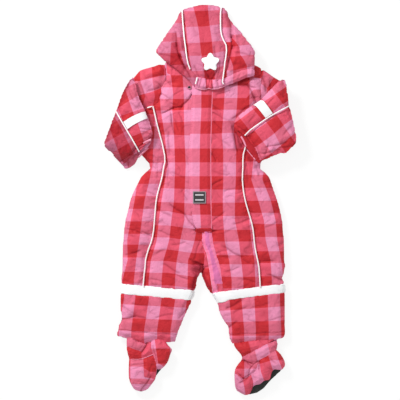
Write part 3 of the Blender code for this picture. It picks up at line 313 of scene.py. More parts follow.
def pad(node_name, finish, voxel_mm=3.0, folds=(), slack=0.03, slot="check", crumpled=1.0,
        base_shade=0.0, **chart):
    """A padded piece: an even remesh of its solid, drawn back to the solid's outline and set a
    little low, that swells later. Folds are (x0, y0, x1, y1, depth, half width), and can end with
    how dark their painted shade is. crumpled is how strongly small creases show, and the base
    share of painted shade darkens the whole piece. The rest is the chart of its check."""
    piece = copy_of(node_name, f"{node_name}_padded")
    add_modifier(piece, "REMESH", mode="VOXEL", voxel_size=voxel_mm / 1000, use_smooth_shade=True)
    piece.data.materials.append(finish)
    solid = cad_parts[node_name].data
    outline = BVHTree.FromPolygons([v.co for v in solid.vertices],
                                   [face.vertices[:] for face in solid.polygons])
    nearest = [outline.find_nearest(Vector(point)) for point in coordinates(piece)]
    points = np.array([place for place, *_ in nearest])
    facing = np.array([way for _, way, *_ in nearest])
    top = np.clip((normals(piece)[:, 2] - TOP_FROM) / TOP_SPAN, 0, 1)
    points[:, 2] -= SINK_MM / 1000 * top
    points[:, :2] += SPREAD_MM / 1000 * facing[:, :2] * (np.abs(facing[:, 2:]) < LEVEL)
    set_coordinates(piece, points)
    held = piece.vertex_groups.new(name="held")
    held.add([int(i) for i in np.flatnonzero(top < HELD_UNDER)], 1.0, "REPLACE")
    swell = piece.modifiers.new("Swell", "CLOTH")
    for key, value in SWELL.items():
        setattr(swell.settings, key, value)
    swell.settings.shrink_min = -slack
    swell.settings.vertex_group_mass = "held"
    swell.settings.effector_weights.gravity = 0
    swell.point_cache.frame_start, swell.point_cache.frame_end = 1, SWELL_FRAMES
    pads.append((piece, folds, crumpled, base_shade, chart))
    return piece


FRONT_RIGHT_FOLDS = (
    # x0, y0, x1, y1, depth, half width, and at times how dark its painted shade is
    (-83, 195, -61, 206, 3.0, 3), (-61, 206, -41, 208, 3.2, 3), (-41, 208, -18, 235, 3.0, 4),
    (-66, 194, -63, 173, 2.0, 3), (-63, 173, -57, 152, 1.8, 4), (-76, 292, -77, 272, 3.0, 3),
    (-76, 268, -62, 256, 2.0, 3), (-71, 148, -69, 108, 1.6, 4), (-72, 90, -72, 48, 1.6, 3),
    (-63, -13, -34, -34, 2.4, 4), (-34, -34, -9, -65, 2.2, 4), (-77, -146, -50, -162, 1.8, 4),
    (-54, -166, -29, -178, 1.6, 3), (-8, -140, 8, -149, 3.0, 4), (-60, 60, -40, 52, 1.2, 5),
    (-95, -20, -70, -34, 1.4, 5), (-100, -120, -80, -112, 1.4, 5),
    (-9, -144, 7, -152, 3.2, 5), (-10, -152, 4, -160, 2.8, 5), (-2, -96, -12, -130, 1.6, 3),
    (-22, -134, -10, -142, 1.8, 3), (-14, -67, 0, -68, 1.8, 2), (-58, 236, -40, 244, 1.4, 3),
    (-54, 176, -50, 158, 1.8, 3), (-46, 192, -40, 176, 1.6, 3), (-92, 176, -84, 156, 1.4, 3),
    (-84, 236, -66, 226, 1.6, 3), (-72, 222, -58, 214, 1.4, 3), (-40, 18, -28, 2, 1.4, 3),
    (-90, -70, -62, -80, 1.4, 3), (-60, -100, -36, -96, 1.4, 3), (-110, -176, -86, -182, 1.4, 3),
    # the shadow in the crotch and down the inside of the leg
    (-8, -140, 9, -147, 0.8, 4, 0.95), (-9, -149, 8, -155, 0.1, 7, 0.6),
    (-10, -154, 6, -160, 0.1, 7, 0.6), (-11, -160, 2, -166, 0.1, 7, 0.6),
    (-11, -166, -3, -171, 0.1, 6, 0.6), (-11, -172, -17, -201, 0.1, 9, 0.75),
)
pad("front_right", check, folds=FRONT_RIGHT_FOLDS,
    columns=(
        # distance down, first edge, x of the stripes' edges
        (-300, 0, -119, -92, -75, -39, -11, 18), (-284, 0, -119, -92, -74, -39, -11, 18),
        (-279, 0, -119, -92, -65, -39, -11, 18), (-236, 0, -117, -90, -60, -36, -7, 22),
        (-202, 0, -115, -88, -62, -36, -7, 22), (-146, 0, -106, -79, -58, -35, -7, 20),
        (-79, 0, -99, -72, -56, -32, -7, 20), (0, 0, -112, -86, -58, -35, -1, 25),
        (45, 0, -119, -92, -64, -35, -4, 22), (90, 0, -124, -97, -69, -44, -12, 16),
        (115, 0, -131, -104, -76, -48, -19, 16), (135, 0, -137, -110, -82, -52, -27, 16),
        (180, 0, -142, -115, -86, -56, -28, 8),
    ),
    rows=(
        # x, first edge, distances down of the stripes' edges
        (-72, 0, -279, -252, -226, -200, -173, -146, -115, -84, -53, -26, 5, 25, 57, 84, 111,
         137, 163, 191),
        (-16, 0, -279, -252, -226, -202, -176, -144, -115, -84, -53, -24, 8, 36, 65, 92, 119,
         145, 172, 198),
    ),
)

FRONT_LEFT_FOLDS = (
    (108, 255, 122, 229, 2.6, 4), (122, 229, 127, 216, 2.0, 4), (73, 163, 84, 112, 2.4, 4),
    (80, -53, 104, -45, 1.8, 4), (104, -45, 126, -38, 1.6, 4), (57, -107, 89, -126, 2.0, 4),
    (89, -126, 108, -141, 1.8, 4), (60, 268, 120, 279, 2.4, 4), (70, 262, 100, 258, 1.6, 4),
    (36, 62, 60, 56, 1.2, 5), (60, -70, 78, -64, 1.2, 5), (52, 130, 66, 122, 1.0, 5),
    (79, 158, 92, 124, 3.2, 5), (84, 156, 104, 112, 3.0, 6), (88, 128, 108, 104, 2.6, 5),
    (66, 259, 92, 268, 2.4, 3), (92, 268, 134, 278, 2.4, 3), (92, 262, 122, 252, 2.0, 3),
    (28, 212, 46, 200, 1.6, 2.5), (30, 196, 50, 182, 1.8, 2.5), (34, 174, 48, 156, 1.8, 2.5),
    (27, 103, 35, 88, 2.0, 2), (26, 34, 48, 44, 1.8, 2.5), (30, -46, 52, -28, 1.6, 2.5),
    (27, -68, 52, -67, 1.8, 2), (34, -120, 60, -112, 1.4, 2.5), (40, 236, 62, 244, 1.4, 3),
    (60, -160, 84, -152, 1.4, 3), (90, -176, 120, -182, 1.4, 3), (58, 20, 76, 26, 1.2, 3),
    # the shadow beside the sleeve and below its cuff
    (76, 185, 109, 210, 0.5, 5, 0.7), (75, 164, 78, 130, 0.2, 9, 0.5),
    (82, 156, 88, 118, 0.2, 9, 0.5), (106, 137, 126, 101, 0.3, 7, 0.8),
)
LEFT_ROWS = (-281, -256, -228, -202, -177, -150, -115, -84)
LEFT_LOW_ROWS = (-53, -23, 6, 36, 67, 93, 124, 144, 172, 198)
pad("front_left", check, folds=FRONT_LEFT_FOLDS,
    columns=(
        (-274, 0, 27, 55, 84, 111, 121), (-271, 0, 27, 55, 84, 111, 140),
        (-236, 0, 27, 55, 84, 111, 140), (-202, 0, 25, 53, 82, 110, 137),
        (-146, 0, 22, 49, 75, 104, 130), (-112, 0, 25, 52, 81, 108, 135),
        (-45, 0, 25, 52, 80, 108, 135), (0, 0, 22, 51, 78, 106, 133),
        (45, 0, 22, 52, 78, 110, 137), (90, 0, 27, 55, 87, 115, 144),
        (135, 0, 36, 65, 92, 122, 151), (180, 0, 43, 71, 97, 124, 153),
    ),
    rows=(
        (-16, 0, -281, -254, -227, -202, -176, -146, -115, -84, -53, -24, 7, 36, 66, 93, 122,
         144, 172, 198),
        (65, 0, *LEFT_ROWS, *LEFT_LOW_ROWS),
        (104, 0, *LEFT_ROWS, *LEFT_LOW_ROWS),
        (120, 0, -299, -273, -247, -222, -192, -158, -119, -84, *LEFT_LOW_ROWS),
    ),
)


# Side panels --------------------------
# Padded panels of the same check, sewn on outside the piped seams. They are gathered at the waist,
# where an elastic pulls them in.

pad("side_right", check, folds=(
    (-104, 95, -106, 60, 1.4, 3, 0.2), (-94, 92, -96, 52, 1.4, 3, 0.2),
    (-113, 84, -115, 62, 1.4, 3, 0.2), (-99, 88, -100, 66, 1.0, 2.5, 0.15),
    (-158, -65, -133, -74, 2.0, 3), (-128, -72, -112, -79, 1.8, 3),
    (-162, -122, -137, -115, 2.2, 4), (-120, 20, -104, 12, 1.4, 4),
), base_shade=0.06,
    columns=(
        (-169, 0, -128, -101, -72), (-112, 0, -132, -105, -74), (-79, 0, -133, -106, -76),
        (-36, 0, -141, -115, -88), (0, 0, -146, -124, -97), (45, 0, -155, -130, -104),
        (90, 0, -163, -136, -110), (135, 0, -162, -143, -117), (180, 0, -174, -148, -122),
    ),
    rows=((-112, -1, -137, -115, -83, -64, -36, -9, 20, 48, 76, 100, 129, 161, 187, 216),),
)
pad("side_left", check, folds=(
    (104, 79, 108, 44, 1.4, 3, 0.25), (113, 85, 118, 50, 1.4, 3, 0.25),
    (124, 84, 131, 56, 1.4, 3, 0.2), (109, 82, 112, 60, 1.0, 2.5, 0.15),
    (140, -137, 162, -137, 2.0, 4), (158, -169, 182, -178, 2.4, 4), (150, -60, 168, -52, 1.4, 4),
    (102, 110, 114, 88, 0.3, 10, 0.5), (112, 128, 128, 100, 0.3, 7, 0.7),
),
    columns=(
        (-169, 0, 92, 119, 148, 178), (-112, 0, 92, 122, 148, 178), (-45, 0, 89, 115, 140, 166),
        (0, 0, 101, 130, 158, 187), (45, 0, 114, 143, 169, 198), (90, 0, 120, 147, 173, 202),
        (135, 0, 128, 158, 182, 209), (180, 0, 135, 161, 187, 214),
    ),
    rows=((135, 0, -173, -144, -115, -86, -56, -27, 2, 29, 54, 83, 115, 141, 171, 191, 220),),
)


# Shins --------------------------------
# The lower legs, of the same padded check, sewn on below the reflective bands. Each has a hem
# turned up and stitched.

pad("shin_right", check, 4.0, folds=(
    (-171, -266, -148, -261, 2.6, 4), (-148, -261, -124, -265, 1.8, 4),
    (-29, -245, -45, -261, 2.0, 4), (-120, -280, -112, -292, 1.2, 3),
    (-182, -290, -123, -297, 1.0, 2.2, 0.55), (-123, -297, -53, -301, 1.0, 2.2, 0.55),
    (-150, -232, -120, -238, 1.4, 3), (-96, -262, -66, -256, 1.4, 3),
    (-176, -238, -160, -246, 1.6, 3), (-80, -236, -62, -244, 1.4, 3),
),
    columns=(
        (220, -2, -198, -170, -145, -114, -86, -55, -29, -2),
        (292, -2, -212, -182, -154, -125, -96, -66, -38, -9),
    ),
    rows=((-180, 0, 202, 233, 264, 292, 322), (-22, 0, 212, 242, 270, 299, 328)),
)
pad("shin_left", check, 4.0, folds=(
    (63, -241, 90, -227, 2.6, 4), (65, -284, 78, -276, 2.4, 4), (80, -250, 100, -240, 1.6, 4),
    (68, -301, 128, -298, 1.0, 2.2, 0.55), (128, -298, 190, -296, 1.0, 2.2, 0.55),
    (120, -240, 150, -232, 1.4, 3), (150, -270, 184, -262, 1.4, 3), (110, -268, 130, -276, 1.2, 3),
),
    columns=(
        (225, -1, 38, 66, 93, 122, 152, 179, 207), (292, -1, 44, 72, 99, 125, 154, 182, 212),
    ),
    rows=((50, 0, 218, 248, 274, 304, 333), (189, 0, 209, 238, 270, 304, 333)),
)


# Back panels --------------------------
# The two back panels, of the same padded check, sewn together down the middle and flat on the
# card. Only their rims show, from the sides.

HIDDEN_CHECK = dict(columns=((0, 0, 12, 40),), rows=((0, 0, 8, 36),))
for side in ("right", "left"):
    pad(f"back_{side}", check, 6.0, slack=0.0, **HIDDEN_CHECK)


# Gusset ------------------------------- A plain pink strip of padded cloth, sewn in down the
# inside of the left leg.

GUSSET_EDGE = ((5, -72), (4.5, -98), (15, -121), (19, -144), (24, -176), (28, -206))
GUSSET_SEAM = ((27, -70), (29, -94), (35, -117), (42, -140), (47, -162), (52, -206))
GUSSET_FOOT_MM = -188
PLAIN_SHINE, PLAIN_CRINKLE_DEPTH, PLAIN_WEAVE, PLAIN_WEAVE_DEPTH = 0.2, 0.003, 0.15, 0.0001


def mottled(name, colour, low, scale, roughness, detail=3):
    """A finish of one colour, clouded down to the share low of it, and its parts."""
    made, tree, shader = new_finish(name)
    clouds = texture(tree, "Noise", Scale=scale, Detail=detail)
    darker = (*[low * c for c in colour], 1)
    feed(shader, {"Base Color": blend(tree, clouds, darker, (*colour, 1)),
                  "Roughness": roughness})
    return made, tree, shader, clouds


def plain_cloth(name, colour, crinkle=0.5, roughness=0.6):
    made, tree, shader, _ = mottled(name, colour, low=0.9, scale=40, roughness=roughness)
    feed(shader, {"Specular IOR Level": PLAIN_SHINE})
    crumple = texture(tree, "Noise", Scale=70, Detail=4, Distortion=0.8)
    threads = texture(tree, "Wave", Scale=1400)
    threads.node.bands_direction = "DIAGONAL"
    emboss(tree, shader, (crumple, crinkle, PLAIN_CRINKLE_DEPTH),
           (threads, PLAIN_WEAVE, PLAIN_WEAVE_DEPTH))
    return made


gusset = pad("gusset_left", plain_cloth("pink_cloth", (0.76, 0.185, 0.42)), folds=(
    (36, -187, 43, -204, 2.2, 3), (12, -150, 30, -146, 1.6, 3), (14, -100, 24, -118, 1.4, 3),
    (5, -98, 15, -122, 1.6, 2.5), (15, -122, 24, -176, 1.4, 2.5), (24, -176, 29, -206, 1.4, 2.5),
    (5, -150, 8, -166, 0.1, 6, 0.6), (5, -166, 26, -207, 0.1, 9, 0.6),
    (40, -192, 46, -204, 1.0, 2, 0.5),
), slot="gusset", columns=((0, 0, -60, 80),), rows=((0, -1, 90, 153, 230),))
for finish in (check, plain_cloth("salmon_cloth", (0.93, 0.23, 0.41)),
               plain_cloth("rose_cloth", (0.76, 0.10, 0.17))):
    gusset.data.materials.append(finish)


# Knee bands ---------------------------
# Reflective woven tape, set in round each leg between the thigh and the shin and sewn along both
# of its edges.

TAPE_COLOUR = (0.97, 0.975, 0.985)
TAPE_ROUGHNESS, BEAD_RELIEF, BEAD_DEPTH = 0.38, 0.2, 0.0001


def reflective_tape(name, colour):
    made, tree, shader, _ = mottled(name, colour, low=0.93, scale=18, roughness=TAPE_ROUGHNESS)
    emboss(tree, shader, (texture(tree, "Voronoi", Scale=2600), BEAD_RELIEF, BEAD_DEPTH))
    return made


tape = reflective_tape("reflective_tape", TAPE_COLOUR)
for side in ("right", "left"):
    pad(f"knee_band_{side}", tape, 2.5, slack=0.0, slot="tape", crumpled=0.15)


# Hood ---------------------------------
# Three panels of the padded check over the hood's back, sewn together along piped seams, with a
# gathered band over the face opening and a band along its left edge.

pad("hood_centre", check, folds=(
    (36, 286, 26, 270, 2.6, 3.5), (12, 286, 24, 270, 2.6, 3.5), (33, 340, 34, 316, 1.6, 3),
    (44, 300, 40, 276, 1.8, 4), (-12, 296, -2, 276, 1.6, 4),
), base_shade=0.28,
    columns=(
        (-428, 0, -14, 18, 45), (-405, 0, -8, 20, 47), (-387, 0, -4, 22, 50),
        (-369, 0, -2, 25, 54), (-351, 0, 0, 27, 61), (-326, 0, 3, 29, 63), (-281, 0, 10, 33, 63),
    ),
    rows=(
        (-32, -1, -446, -423, -387, -350, -322, -288, -261),
        (7, -1, -450, -423, -388, -352, -322, -288, -268),
        (50, -1, -452, -426, -394, -356, -332, -299, -270),
    ),
)
pad("hood_side_right", check, folds=(
    (-54, 372, -52, 345, 2.4, 3), (-52, 345, -45, 320, 4.4, 3), (-45, 320, -34, 296, 4.0, 3.5),
    (-34, 296, -22, 276, 2.4, 4), (-84, 326, -60, 318, 1.4, 5),
), base_shade=0.42,
    # between the fold and the piping, then beyond the fold
    columns=((0, -1, -70, 5),),
    rows=((0, -1, -396, -364, -333, -301),),
    beyond=(
        ((-52, -394), (-52, -360), (-45, -333), (-34, -299)),
        ((-355, -1, -120, -40, -10), (-352, -1, -95, -64, -34), (-328, -1, -95, -66, -34),
         (-301, -1, -97, -67, -34)),
        ((0, 0, -423, -396, -374, -354, -328, -302, -274),),
    ),
)
pad("hood_side_left", check, folds=(
    (68, 396, 70, 364, 2.4, 3.5), (70, 364, 73, 342, 4.4, 3), (73, 342, 64, 312, 3.4, 3.5),
    (64, 312, 60, 296, 2.0, 4), (84, 330, 106, 324, 1.6, 5),
    (59, 428, 66, 393, 0.3, 16, 0.5),
), base_shade=0.16,
    # beyond the fold, then between the fold and the piping
    columns=((-392, 0, 40, 70, 99), (-364, 0, 40, 70, 101), (-358, 0, 45, 76, 106),
             (-342, 0, 58, 88, 122), (-324, 0, 61, 90, 124), (-315, 0, 68, 97, 130),
             (-299, 0, 74, 105, 137)),
    rows=((74, -1, -392, -369, -343, -320, -289, -261),
          (122, -1, -396, -374, -349, -325, -300, -272)),
    beyond=(
        ((71, -392), (70, -362), (72, -340), (65, -315), (60, -292)),
        ((-354, -1, 30, 100, 130), (-352, -1, -30, 30, 100)),
        ((0, -1, -432, -418, -386, -353, -322, -292),),
    ),
)
pad("hood_brim", check, folds=(
    (14, 268, 15, 250, 2.6, 2.2), (21, 268, 20, 254, 2.0, 2), (27, 266, 28, 250, 2.6, 2.2),
    (38, 268, 40, 256, 2.0, 2.5), (2, 268, 0, 256, 1.8, 2.5),
), base_shade=0.08,
    columns=((-270, -1, -7, 13, 28, 60), (-250, -1, -12, 13, 28, 60)),
    rows=((0, -1, -300, -240),),
)
pad("hood_band_left", check,
    columns=((-270, -1, 48, 74, 106, 134),), rows=((0, -1, -300, -230),), crosswise=True,
)
pad("hood_back", check, 6.0, slack=0.0, **HIDDEN_CHECK)


# Upper sleeves ------------------------
# The upper arms, of the same padded check, sewn in at the shoulders. Past the shoulder they lie
# under the forearms.

pad("upper_sleeve_right", check, 4.0, folds=(
    (-112, 245, -90, 252, 2.0, 4), (-118, 274, -88, 279, 1.6, 4), (-96, 262, -82, 250, 1.8, 4),
    (-136, 262, -120, 230, 1.8, 4),
), base_shade=0.08,
    columns=(
        (-299, -1, -136, -108, -81), (-265, -1, -133, -106, -79), (-231, -1, -122.6, -101, -74),
        (-100, -1, -160, -132, -104),
    ),
    rows=(
        (-136, -1, -326, -298, -266, -234, -205), (-108, -1, -332, -304, -273, -242, -203),
        (-84, -1, -338, -310, -279, -252, -194),
    ),
    crosswise=True,
)
pad("upper_sleeve_left", check, 4.0, folds=(
    (141, 272, 148, 246, 2.4, 4), (156, 262, 160, 244, 2.2, 4),
    (149, 234, 163, 251, 0.5, 6, 0.9),
), base_shade=0.2,
    columns=((-281, -1, 142, 169, 197), (-248, -1, 122, 149, 176), (-100, -1, 130, 158, 185)),
    rows=((135, -1, -320, -292, -263, -227, -198), (162, -1, -316, -288, -236, -214, -188)),
)


# Forearms -----------------------------
# Each forearm folds over its upper arm. Two panels of the padded check are sewn together at the
# piped seam, and the check runs with it.

FOREARM_RIGHT_WAYS = ((-186, 197), (0.868, 0.497), (0.497, -0.868))
FOREARM_LEFT_WAYS = ((199.6, 211), (-0.560, 0.828), (-0.828, -0.560))
pad("forearm_inner_right", check, folds=(
    (-112, 139, -128, 124, 2.4, 3), (-160, 248, -150, 226, 1.6, 4), (-128, 152, -112, 148, 1.6, 3),
    (-150, 214, -138, 206, 1.2, 4), (-139, 117, -108, 142, 2.0, 2), (-138, 111, -107, 135, 2.0, 2),
    (-132, 160, -112, 158, 1.6, 2.5), (-186, 202, -162, 258, 0.1, 14, 0.65),
), base_shade=0.14,
    turned=FOREARM_RIGHT_WAYS,
    columns=((-40, 0, 12, 42, 70), (-22, 0, 8, 39, 67), (25, 0, 2, 30, 60),
             (47, 0, 0, 28, 56), (86, 0, -1, 20, 50)),
    rows=((0, 0, -42, -5, 12, 38, 65, 92, 118), (30, 0, -39, -7, 18, 39, 69, 95, 120),
          (60, 0, -36, -8, 24, 40, 73, 98, 122)),
)
pad("forearm_outer_right", check, folds=(
    (-146, 134, -134, 128, 1.8, 3), (-178, 90, -168, 86, 1.8, 3), (-196, 150, -186, 132, 1.6, 4),
    (-172, 91, -156, 104, 2.4, 2), (-156, 104, -140, 116, 2.4, 2), (-178, 84, -172, 91, 2.0, 2),
    (-206, 146, -188, 196, 0.1, 14, 0.6),
), base_shade=0.52,
    turned=FOREARM_RIGHT_WAYS,
    columns=((25, -1, -60, -32, -10, 18), (47, -1, -62, -36, -10, 18), (97, -1, -71, -44, -14, 16)),
    rows=((-20, -1, -10, 18, 48, 74, 100, 126),),
)
pad("forearm_inner_left", check, folds=(
    (140, 130, 130, 112, 2.4, 3), (186, 232, 176, 240, 1.6, 4), (112, 176, 120, 186, 1.4, 4),
    (80, 170, 104, 150, 1.8, 2), (150, 214, 164, 226, 1.4, 3),
), base_shade=0.10,
    turned=FOREARM_LEFT_WAYS,
    columns=((-16, -1, -18, 8.8, 38.6, 66), (16, -1, -16, 11, 38.3, 66), (37, -1, -18, 9, 39, 66),
             (56, -1, -20, 2, 38.5, 66), (79, -1, -24, -3, 38, 66), (107, -1, -26, -3, 36.6, 64)),
    rows=((5, 0, -18, 9.7, 36, 68, 104.6, 131), (38, 0, -18, 11.4, 40.7, 71.6, 107.5, 133)),
)
pad("forearm_outer_left", check, folds=(
    (152, 122, 146, 104, 2.0, 3), (196, 120, 180, 116, 2.0, 3), (200, 160, 190, 150, 1.6, 4),
    (104, 147, 127, 118, 1.8, 2), (127, 118, 139, 89, 1.8, 2), (150, 118, 190, 128, 2.2, 3),
    (140, 104, 176, 112, 2.0, 2.5), (106, 134, 127, 100, 0.4, 5, 0.7),
), base_shade=0.06,
    turned=FOREARM_LEFT_WAYS,
    columns=((13, -1, -57, -28.6, -2, 24), (36, -1, -59, -29.6, -2, 24),
             (65, -1, -63.5, -33.2, -3, 24), (94, -1, -66, -34.3, -3, 24)),
    rows=((-2, -1, 6, 35.5, 63.5, 96, 142, 170), (-33, -1, 6, 35.5, 62.4, 94, 142, 170),
          (-60, -1, 6, 35.7, 66, 92, 142, 170)),
)
pad("forearm_under_right", check, slack=0.0, base_shade=0.08, folds=(
    (-163, 90, -161, 76, 1.5, 2, 0.6), (-150, 96, -134, 108, 1.0, 6, 0.5),
),
    turned=FOREARM_RIGHT_WAYS, columns=((0, -1, -64, -40, -4, 30),), rows=((0, 1, 60, 200),),
    crosswise=True,
)
pad("forearm_under_left", check, 4.0, slack=0.0, base_shade=0.35,
    turned=FOREARM_LEFT_WAYS, columns=((0, 0, -200, 200),), rows=((0, 0, -100, 300),),
)


# Booties ------------------------------
# Padded booties with rubber soles, joined on at the hems. The left one turns outwards and has a
# strap over its instep.

SOLE_COLOUR, SOLE_ROUGHNESS = (0.017, 0.020, 0.017, 1), 0.7
PIT_RELIEF, PIT_DEPTH = 0.5, 0.0006
FINE_VOXEL = 0.0016
rubber, rubber_tree, rubber_shader = new_finish("sole_rubber")
feed(rubber_shader, {"Base Color": SOLE_COLOUR, "Roughness": SOLE_ROUGHNESS})
pits = texture(rubber_tree, "Voronoi", Scale=420)
emboss(rubber_tree, rubber_shader, (pits, PIT_RELIEF, PIT_DEPTH))

BOOTIE_FOLDS = (
    (-112, -397, -131, -425, 2.8, 3), (-121, -326, -129, -341, 3.0, 3),
    (-150, -370, -128, -366, 1.6, 4), (92, -408, 104, -400, 2.4, 3),
    (132, -364, 133, -378, 2.4, 3), (100, -362, 112, -370, 2.4, 4),
    (158, -356, 166, -362, 1.8, 4), (-146, -376, -124, -372, 1.4, 3),
    (-108, -372, -116, -392, 1.4, 3), (-149, -312, -123, -321, 1.5, 2, 0.7),
    (-124, -318, -118, -321, 1.5, 2.5, 0.8), (-104, -330, -98, -360, 1.6, 2, 0.5),
    (95, -357, 115, -366, 2.0, 4, 0.85), (127, -361, 113, -378, 2.2, 2.5, 0.5),
    (113, -378, 107, -394, 1.6, 2.5, 0.4), (88, -391, 97, -398, 1.8, 2.5, 0.5),
    (97, -398, 112, -391, 1.8, 2.5, 0.5), (174, -312, 176, -325, 1.0, 3, 0.6),
)
BOOTIE_CHECKS = {
    "bootie_cuff_right": dict(columns=((0, -1, -200, 0),), rows=((0, 0, 240, 420),)),
    "bootie_instep_right": dict(
        columns=((0, 0, -200, -131, -70),), rows=((0, 0, 300, 400),), crosswise=True),
    "bootie_toe_right": dict(
        columns=((356, -1, -156, -127, -98), (396, -1, -156, -125, -98),
                 (402, -1, -156, -100, -70)),
        rows=((-130, 0, 346, 373, 400, 412, 436), (-112, 0, 346, 385, 402, 412, 436))),
    "bootie_heel_right": dict(
        columns=((312, -1, -112, -102, -68, -40), (345, -1, -108, -97, -67, -40),
                 (366, -1, -108, -94, -66, -40), (372, -1, -112, -82, -60, -40)),
        rows=((-90, 0, 333, 367, 395),)),
    "bootie_ankle_left": dict(
        columns=((316, 0, 60, 108, 190), (338, 0, 60, 114, 190)),
        rows=((0, 0, 300, 460),), crosswise=True),
    "bootie_strap_left": dict(
        columns=((320, 0, 84, 119, 150.5, 182), (360, 0, 94, 128.5, 161, 192)),
        rows=((0, -1, 300, 460),), crosswise=True),
    "bootie_instep_left": dict(columns=((0, 0, 60, 99, 150),), rows=((0, 0, 300, 378, 430),)),
    "bootie_toe_left": dict(
        columns=((380, -1, 66, 92, 124), (430, -1, 76, 101, 140)), rows=((0, -1, 360, 450),)),
    "bootie_heel_left": dict(
        columns=((337, -1, 104, 131, 149, 169, 196), (361, -1, 106, 133, 157, 177, 198),
                 (384, -1, 113, 136, 164, 186, 204), (411, -1, 119, 146, 172, 194, 212)),
        rows=((130, 0, 338, 368, 420), (163, 0, 332, 358, 400))),
}
# painted shade that darkens the left toe all over
BOOTIE_BASE_SHADE = {"bootie_toe_left": 0.18}
for name, chart in BOOTIE_CHECKS.items():
    pad(name, check, 2.5, folds=BOOTIE_FOLDS, base_shade=BOOTIE_BASE_SHADE.get(name, 0.0), **chart)
for side in ("right", "left"):
    pad(f"bootie_under_{side}", check, 4.0, slack=0.0, **HIDDEN_CHECK)
    sole = copy_of(f"bootie_sole_{side}", f"bootie_sole_{side}_rubber")
    add_modifier(sole, "REMESH", mode="VOXEL", voxel_size=FINE_VOXEL, use_smooth_shade=True)
    sole.data.materials.append(rubber)


# Swelling and creasing ----------------
# The padding presses all the panels out together. Then each panel gets its finer mesh, its
# pressed folds, its painted shade and its check.

SWELL_CAP_MM = 1.7
LAMP_WAY = np.array((-0.63, 0.78))
CREASE_SHADE, DEEP_FOLD_MM = 0.6, 2.6
EDGE_SHADE, EDGE_SLOPE = 0.75, 0.6
WAVER_MM, WAVER_LENGTH_MM, WAVER_STEP = 0.9, 6.5, 2.1
# a fold's sizes as shares of its half width, and its ridge's height as a share of its depth
TAIL, STEEP_SIDE, SOFT_SIDE, LINE_WIDTH = 1.6, 0.55, 1.5, 0.5
RIDGE_HEIGHT, RIDGE_AWAY, RIDGE_WIDTH = 0.4, 3.0, 1.4
TROUGH_POWER = 1.4


def bell(distance, width):
    return np.exp(-((distance / width) ** 2))


def fold_field(points, folds):
    """How far folds press down at each point, in metres, and how dark their painted shade is. A
    fold is a sharp line, steep towards the lamp, with a low ridge along its other side."""
    depth, shade = np.zeros(len(points)), np.zeros(len(points))
    plan = points[:, :2] * 1000
    for number, (x0, y0, x1, y1, deep, width, *dark) in enumerate(folds):
        dark = dark[0] if dark else CREASE_SHADE * min(deep / DEEP_FOLD_MM, 1)
        start, way = np.array((x0, y0), float), np.array((x1 - x0, y1 - y0), float)
        length = np.linalg.norm(way)
        way /= length
        across = np.array((-way[1], way[0]))
        across *= math.copysign(1, across @ LAMP_WAY)
        along, beside = (plan - start) @ way, (plan - start) @ across
        beside = beside + WAVER_MM * np.sin(along / WAVER_LENGTH_MM + WAVER_STEP * number)
        fade = bell(np.maximum(np.maximum(-along, along - length), 0), TAIL * width)
        reach = np.where(beside > 0, STEEP_SIDE, SOFT_SIDE) * width
        trough = np.exp(-np.abs(beside / reach) ** TROUGH_POWER)
        ridge = RIDGE_HEIGHT * bell(beside + RIDGE_AWAY * width, RIDGE_WIDTH * width)
        depth += deep * fade * (trough - ridge)
        shade = np.maximum(shade, dark * bell(beside, LINE_WIDTH * width) * fade)
    return depth / 1000, shade


# how far the waves' lengths vary, and what keeps their sum between -1 and 1
WAVE_LENGTHS, WAVE_SUM = (0.75, 1.4), 1.4


def ripples(places, length_mm, waves, seed):
    """An uneven wave of about that length, between -1 and 1, the same on each run."""
    draw = np.random.default_rng(seed)
    total = np.zeros(len(places))
    for _ in range(waves):
        way = draw.normal(size=2)
        way *= 2 * math.pi / (length_mm * draw.uniform(*WAVE_LENGTHS) * np.linalg.norm(way))
        total += np.sin(places @ way + draw.uniform(0, 2 * math.pi))
    return total / waves**0.5 / WAVE_SUM


# a wave's length, how many are laid over each other, and the seed
GATHERS, LUMPS = (16, 5, 4), (34, 6, 9)
WARPS = ((26, 4, 2), (26, 4, 3))
CREASES = (((46, 5, 21), (40, 5, 31)), ((46, 5, 22), (40, 5, 32)))
GATHER_MM, GATHER_REACH_MM = 1.0, 9.0
LUMP_MM, LUMP_FROM_MM = 0.8, 8
CRUMPLE_MM, CRUMPLE_WARP_MM, CRUMPLE_WIDTH, CRUMPLE_SHADE = 0.9, 5, 0.13, 0.28
PATCH_CONTRAST = 2.2
WALL = 0.45


def pucker_field(points, ways):
    """Small gathers that start square to every seam and fade inwards, soft lumps of the wadding
    between them, and thin broken creases, in metres, with how dark the creases' painted shade is."""
    plan = points[:, :2] * 1000
    walls = np.flatnonzero(np.abs(ways[:, 2]) < WALL)
    tree = KDTree(len(walls))
    for number, wall in enumerate(walls):
        tree.insert((*plan[wall], 0), number)
    tree.balance()
    found = [tree.find((x, y, 0)) for x, y in plan]
    near = np.array([place[:2] for place, _, _ in found])
    away = np.array([distance for _, _, distance in found])
    gathers = np.abs(ripples(near, *GATHERS)) * np.exp(-away / GATHER_REACH_MM)
    lumps = 0.5 * (1 + ripples(plan, *LUMPS)) * (1 - np.exp(-away / LUMP_FROM_MM))
    warped = plan + CRUMPLE_WARP_MM * np.column_stack([ripples(plan, *warp) for warp in WARPS])
    lines = np.zeros(len(points))
    for crease, patches in CREASES:
        line = np.exp(-np.abs(ripples(warped, *crease)) / CRUMPLE_WIDTH)
        patch = np.clip(PATCH_CONTRAST * ripples(plan, *patches), 0, 1)
        lines = np.maximum(lines, line * patch)
    depth = GATHER_MM * gathers + LUMP_MM * lumps + CRUMPLE_MM * lines
    return depth / 1000, CRUMPLE_SHADE * lines


